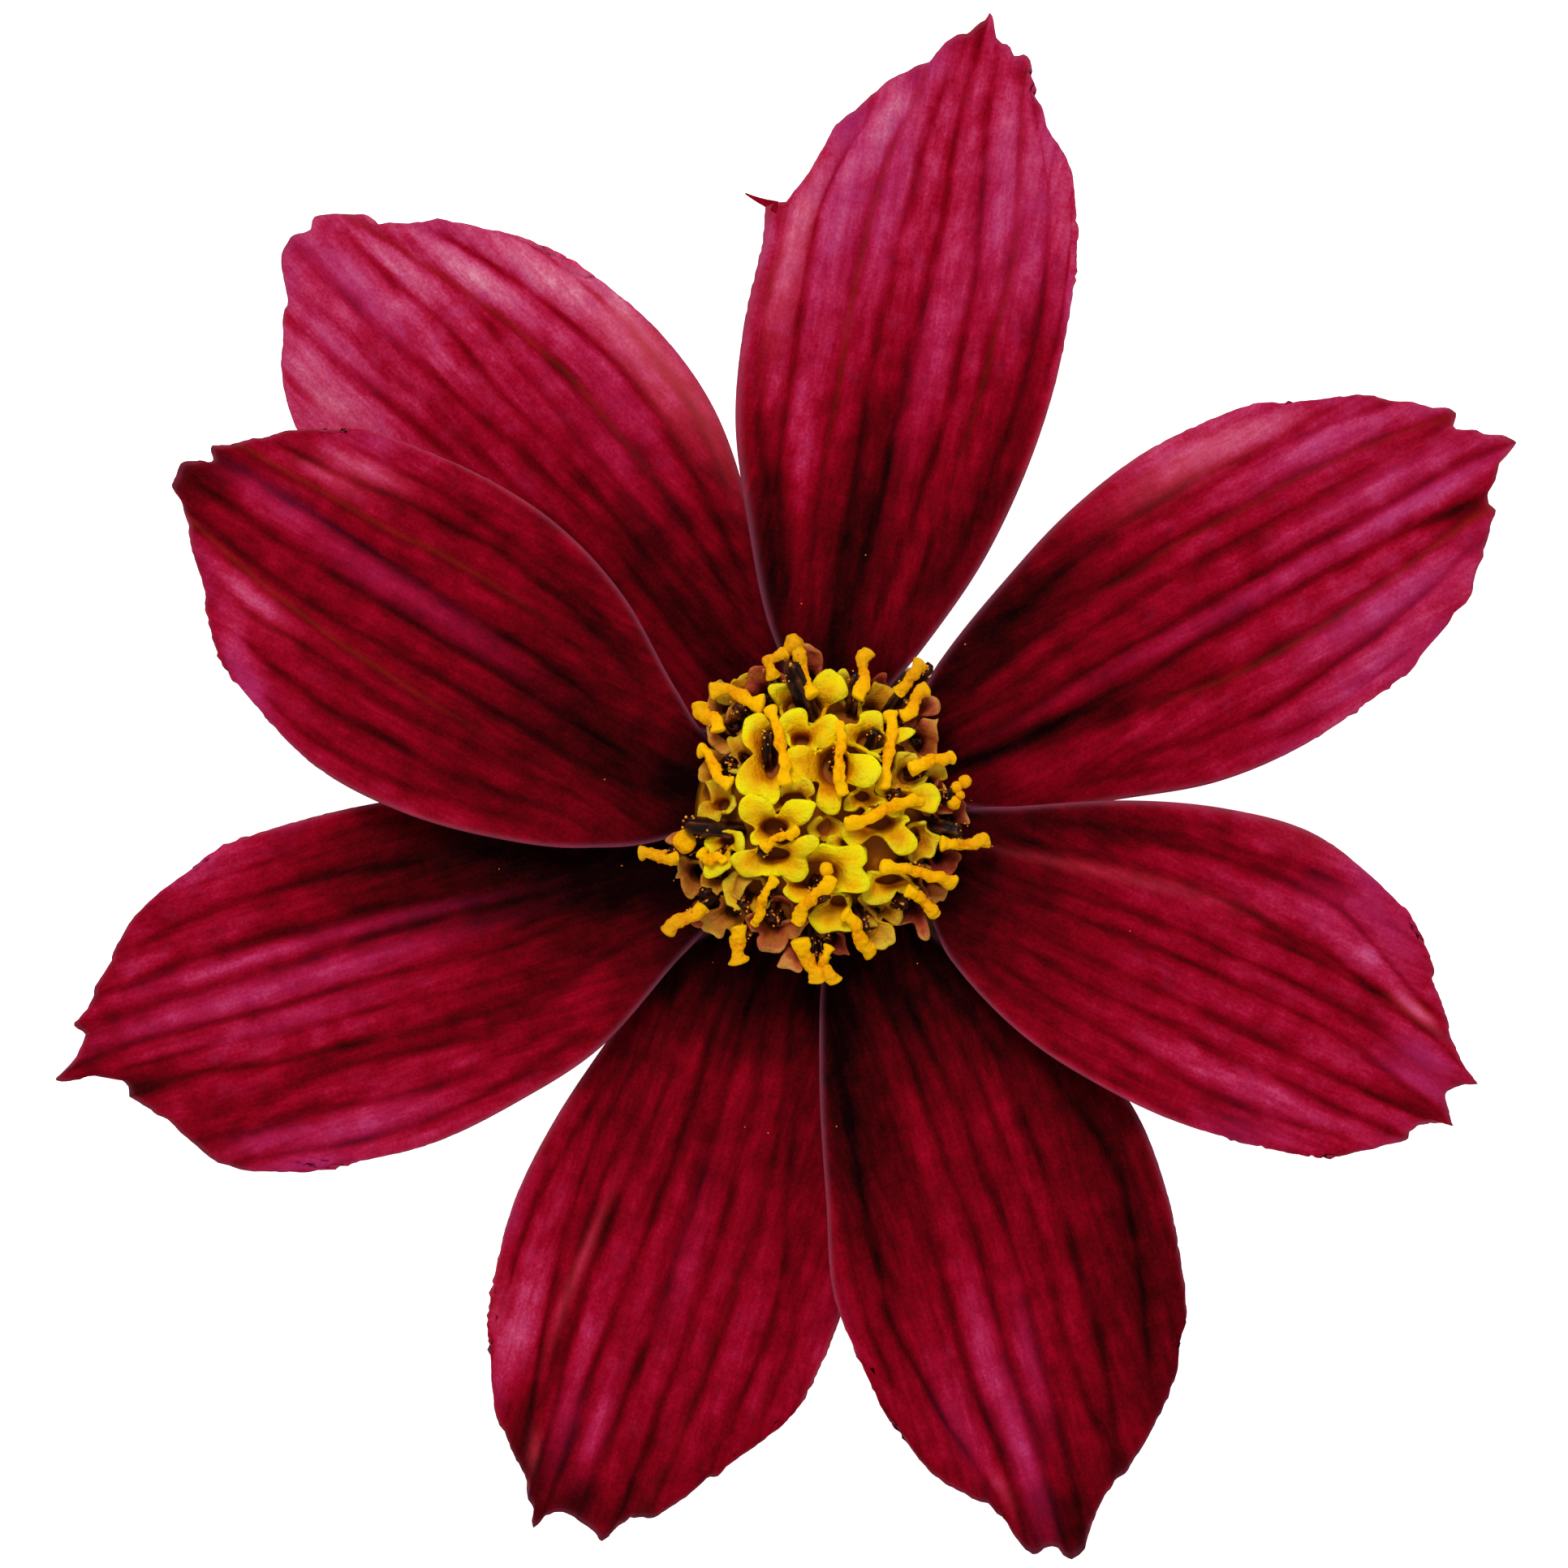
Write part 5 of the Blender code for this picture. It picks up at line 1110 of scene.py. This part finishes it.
def corollaMaterial():
    # Waxy yellow tissue: lemon on the curled lobes with painted highlights on their margins, brown down the
    # throat, partly pigment and partly painted shade, tan and rose when spent.
    material, tree, shader = newMaterial("waxy_floret_tissue")
    coords = objectCoords(tree)
    cells = noiseOf(tree, coords, 1900.0, 6.0, 0.62)  # 0.5 mm
    blotches = noiseOf(tree, coords, 800.0)  # 1.2 mm
    varied = mathOf(tree, "MULTIPLY_ADD", attributeOf(tree, "reach"), 0.62, -0.29)
    varied = mathOf(tree, "MULTIPLY_ADD", cells, 0.6, varied)
    varied = mathOf(tree, "MULTIPLY_ADD", blotches, 0.7, varied)
    fresh = rampOf(tree, varied, ((0.0, "#C05A00"), (0.26, "#CE6E00"), (0.4, "#E49400"), (0.5, "#F4AE00"),
                                  (0.6, "#FEC800"), (0.74, "#FFE000"), (0.92, "#FFF400")))
    spent = rampOf(tree, varied, ((0.0, "#3C0C08"), (0.3, "#5E180E"), (0.5, "#802616"), (0.66, "#9E3E24"),
                                  (0.84, "#BC5A34"), (1.0, "#D28C44")))
    share = mathOf(tree, "MULTIPLY_ADD", cells, 0.8, attributeOf(tree, "ripe"))
    share = mathOf(tree, "SUBTRACT", share, 0.3, clamp=True)
    shader.inputs["Roughness"].default_value = 0.32
    shader.inputs["Specular IOR Level"].default_value = 0.06
    dress(tree, shader, mixOf(tree, share, fresh, spent), cells, 1.0, 0.28)
    return material


def styleMaterial():
    # Papillose style branches: rough golden amber, brighter at the knobs, with painted shade making them
    # duller outside the disc.
    material, tree, shader = newMaterial("papillose_style")
    coords = objectCoords(tree)
    bumps = noiseOf(tree, coords, 8000.0, 3.0)  # 0.12 mm
    ends = mathOf(tree, "ABSOLUTE", mathOf(tree, "SUBTRACT", attributeOf(tree, "knob"), 0.5))
    share = mathOf(tree, "MULTIPLY_ADD", bumps, 0.9, ends)
    golden = rampOf(tree, share, ((0.2, "#CC6800"), (0.42, "#F09A00"), (0.6, "#FAAE00"), (1.0, "#FFC404")))
    # painted shade: beyond 4.2 mm from the middle the branches are mixed towards a duller tan
    flat = addNode(tree, "ShaderNodeVectorMath", dict(operation="MULTIPLY"), {0: coords, 1: (1.0, 1.0, 0.0)})
    out = addNode(tree, "ShaderNodeVectorMath", dict(operation="LENGTH"), {0: flat.outputs["Vector"]})
    outer = addNode(tree, "ShaderNodeMapRange", None, {"Value": out.outputs["Value"], "From Min": 4.2 * mm,
                                                       "From Max": 5.8 * mm, "To Max": 0.45})
    shader.inputs["Roughness"].default_value = 0.6
    shader.inputs["Specular IOR Level"].default_value = 0.03
    dress(tree, shader, mixOf(tree, outer.outputs[0], golden, hexColour("#C88018")), bumps, 0.8, 0.06)
    return material


def antherMaterial():
    # Dry anther tube: near-black brown and rather glossy, with thinner brown skin on the ribs.
    material, tree, shader = newMaterial("dry_anther_tube")
    blotches = noiseOf(tree, objectCoords(tree), 2600.0, 4.0)  # 0.4 mm
    share = mathOf(tree, "MULTIPLY_ADD", attributeOf(tree, "rib"), 0.25, blotches)
    colour = rampOf(tree, share, ((0.35, "#060100"), (0.58, "#1B0702"), (0.74, "#451C08"), (0.95, "#7A4A14")))
    shader.inputs["Roughness"].default_value = 0.3
    shader.inputs["Specular IOR Level"].default_value = 0.12
    dress(tree, shader, colour, blotches, 0.5, 0.06)
    return material


def pollenMaterial():
    # Oily pollen grains: orange, a little darker in places.
    material, tree, shader = newMaterial("oily_pollen")
    patches = noiseOf(tree, objectCoords(tree), 4000.0)  # 0.25 mm
    shader.inputs["Roughness"].default_value = 0.5
    dress(tree, shader, rampOf(tree, patches, ((0.35, "#C06010"), (0.65, "#FFA81E"))))
    return material


def coreMaterial():
    # Packed floret tubes: pale olive at the foot, brownish yellow on the dome, darker brown at its very top
    # as painted shade between the cups.
    material, tree, shader = newMaterial("packed_floret_tubes")
    coords = objectCoords(tree)
    parts = addNode(tree, "ShaderNodeSeparateXYZ", None, {"Vector": coords})
    height = addNode(tree, "ShaderNodeMapRange", None,
                     {"Value": parts.outputs["Z"], "From Min": 3.0 * mm, "From Max": 8.6 * mm})
    grain = noiseOf(tree, coords, 1800.0, 4.0)  # 0.55 mm
    share = mathOf(tree, "MULTIPLY_ADD", grain, 0.4, height.outputs[0])
    # the last, darker stop at the top of the dome is painted shade where it shows between the cups
    colour = rampOf(tree, share, ((0.1, "#A8AE62"), (0.5, "#C8B42E"), (0.75, "#B88410"), (0.95, "#BA7208"),
                                  (1.0, "#985008")))
    shader.inputs["Roughness"].default_value = 0.6
    shader.inputs["Specular IOR Level"].default_value = 0.1
    dress(tree, shader, colour, grain, 0.5, 0.08)
    return material


makeCore(coreMaterial())
corollaSkin = corollaMaterial()
for name, least, under in (("fresh", 0.0, 0.4), ("fading", 0.4, 0.8), ("spent", 0.8, 1.1)):  # by ripeness
    chosen = [i for i, floret in enumerate(florets) if least <= floret[5] < under]
    makeCorollas(f"corollas_{name}", chosen, corollaSkin)
makeAnthers(antherMaterial())
makeStyles(styleMaterial())
makePollen(pollenMaterial())
print("disc made")

# run: along each bract, the share of its length, its height, and the share of its half-width.
# receptacle and cup: radius and height of their outlines, the receptacle's from the middle of the cut
# stalk out over its ring, up the neck and the shoulder to the plate that carries the disc.
bractBuild = dict(
    bracts=8, keel=0.12, columns=10, rows=16, ripple=0.03, ripples=10, placeStep=9.0,
    outer=dict(
        root=3.2, length=5.6, lengthChange=0.35, halfWidth=0.6, firstBearing=27.5, tipLift=0.05, wall=0.35,
        run=((-0.18, 1.3, 1.0), (0.0, 1.28, 1.0), (0.3, 1.3, 0.95), (0.6, 1.02, 0.85),
             (0.85, 0.58, 0.7), (0.95, 0.32, 0.5), (1.0, 0.19, 0.12)),
    ),
    inner=dict(
        root=4.25, length=1.6, lengthChange=0.0, halfWidth=1.45, firstBearing=5, tipLift=0.0, wall=0.3,
        run=((0.02, 2.4, 0.95), (0.06, 2.75, 1.0), (0.17, 3.1, 1.0), (0.44, 3.35, 0.92),
             (0.73, 3.5, 0.7), (0.92, 3.52, 0.35), (1.0, 3.5, 0.06)),
    ),
    receptacle=((0.0, 0.12), (0.45, 0.1), (0.6, 0.02), (1.1, 0.0), (1.42, 0.0), (1.5, 0.08), (1.56, 0.5),
                (1.85, 0.78), (2.3, 0.97), (3.1, 1.2), (3.5, 1.32), (3.65, 1.45), (3.65, 1.92),
                (3.5, 2.0), (0.0, 2.0)),
    cup=((3.95, 2.05), (4.0, 2.0), (4.4, 2.0), (4.55, 2.18), (4.55, 2.92), (4.47, 3.0), (4.03, 3.0),
         (3.95, 2.92)),
)


def addBracts(bm, bract, placeLayer, rimLayer):
    b = bractBuild
    shares, heights, widths = zip(*bract["run"])
    for index in range(b["bracts"]):
        bearing = math.radians(bract["firstBearing"] + 360 / b["bracts"] * index)
        length = bract["length"] + bract["lengthChange"] * math.sin(2.3 * index)
        lift = bract["tipLift"] * (-1) ** index

        def shape(vert, across, along):
            share = shares[0] + (1 - shares[0]) * along
            half = bract["halfWidth"] * curveThrough(shares, widths, share)
            side = across * 2 - 1
            height = curveThrough(shares, heights, share) + lift * share**2 + b["keel"] * half * side**2
            height += b["ripple"] * math.sin(side * b["ripples"]) * smoothStep(half, 0.1, 0.4)
            vert.co = (polar(bearing, bract["root"] + share * length)
                       + polar(bearing - math.pi / 2, side * half, max(height, bract["wall"] / 2)))
            vert[placeLayer] = (side * half, share * length, index * b["placeStep"])
            vert[rimLayer] = smoothStep(abs(side), 0.72, 1.0)

        addSheet(bm, b["columns"], b["rows"], shape)


def bractMaterial(name, middle, dark, margin):
    # Bract: firm leafy tissue with fine lines along it and a thin paler margin.
    material, tree, shader = newMaterial(name)
    place = attributeOf(tree, "place", "Vector")
    stretched = addNode(tree, "ShaderNodeMapping", None, {"Vector": place, "Scale": (6.0, 0.6, 1.0)})
    lines = noiseOf(tree, stretched.outputs[0], 1.0, 4.0)  # lines 0.17 mm apart
    colour = rampOf(tree, lines, ((0.3, dark), (0.7, middle)))
    shader.inputs["Roughness"].default_value = 0.5
    dress(tree, shader, mixOf(tree, attributeOf(tree, "rim"), colour, hexColour(margin)), lines, 0.4, 0.06)
    return material


def makeUnderside():
    b = bractBuild
    green = bractMaterial("green_bract_tissue", "#6E8A3A", "#3E5A1C", "#98A860")
    olive = bractMaterial("dry_bract_tissue", "#8A7A3A", "#54441C", "#C8B27A")
    for name, bract, material, slot in (
        ("outer_bracts", b["outer"], green, "bract_green"),
        ("inner_bract_blades", b["inner"], olive, "bract_olive"),
    ):
        bm = bmesh.new()
        placeLayer = bm.verts.layers.float_vector.new("place")
        rimLayer = bm.verts.layers.float.new("rim")
        addBracts(bm, bract, placeLayer, rimLayer)
        finishPiece(name, bm, material, wall=bract["wall"], levels=1)
    bm = bmesh.new()
    placeLayer = bm.verts.layers.float_vector.new("place")
    spinProfile(bm, b["receptacle"])
    for vert in bm.verts:
        vert[placeLayer] = (math.atan2(vert.co.y, vert.co.x) * 1.5, vert.co.xy.length, 0.0)
    finishPiece("receptacle", bm, green, ["base_with_outer_bracts"])
    bm = bmesh.new()
    placeLayer = bm.verts.layers.float_vector.new("place")
    spinProfile(bm, b["cup"], closed=True)
    for vert in bm.verts:
        vert[placeLayer] = (math.atan2(vert.co.y, vert.co.x) * 4.0, vert.co.z, 3.0)
    finishPiece("inner_bract_cup", bm, olive, ["inner_bracts"])


makeUnderside()
print("underside made")

# Sizes and places in metres, powers in watts.
stage = dict(
    floorSize=1.6, floorColour="#FFFFFF", floorGlow=0.95, sky=0.42,
    keyPlace=(-0.12, 0.5, 0.75), keySize=0.3, keyPower=5.0,
    fillPlace=(0.1, -0.5, 0.6), fillSize=0.6, fillPower=0.6,
)
# In millimetres: straight down, 350 over the petals, 1 up and left of the flower's own axis.
view = dict(sensor=36.0, lens=248.7, place=(-1.02, 1.02, 356))


def makeStage():
    bm = bmesh.new()
    bmesh.ops.create_grid(bm, x_segments=1, y_segments=1, size=stage["floorSize"] / 2)
    mesh = bpy.data.meshes.new("floor")
    bm.to_mesh(mesh)
    bm.free()
    material, _, shader = newMaterial("lit_white_board")
    shader.inputs["Base Color"].default_value = hexColour(stage["floorColour"])
    shader.inputs["Roughness"].default_value = 0.9
    shader.inputs["Emission Color"].default_value = (1.0, 1.0, 1.0, 1.0)
    shader.inputs["Emission Strength"].default_value = stage["floorGlow"]
    mesh.materials.append(material)
    floor = bpy.data.objects.new("floor", mesh)
    bpy.context.scene.collection.objects.link(floor)
    world = bpy.data.worlds.new("studio")
    world.use_nodes = True
    world.node_tree.nodes["Background"].inputs["Color"].default_value = (1.0, 1.0, 1.0, 1.0)
    world.node_tree.nodes["Background"].inputs["Strength"].default_value = stage["sky"]
    bpy.context.scene.world = world
    for name, place, size, power in (
        ("key", stage["keyPlace"], stage["keySize"], stage["keyPower"]),
        ("fill", stage["fillPlace"], stage["fillSize"], stage["fillPower"]),
    ):
        light = bpy.data.lights.new(name, "AREA")
        light.size = size
        light.energy = power
        lamp = bpy.data.objects.new(name, light)
        lamp.location = place
        lamp.rotation_euler = (-Vector(place)).to_track_quat("-Z", "Y").to_euler()
        bpy.context.scene.collection.objects.link(lamp)


def makeCamera():
    data = bpy.data.cameras.new("camera")
    data.sensor_width = view["sensor"]
    data.lens = view["lens"]
    data.clip_start = 0.01
    camera = bpy.data.objects.new("camera", data)
    camera.location = [value * mm for value in view["place"]]
    bpy.context.scene.collection.objects.link(camera)
    bpy.context.scene.camera = camera


makeStage()
makeCamera()
bpy.context.scene.view_settings.view_transform = "Standard"
print("stage made")
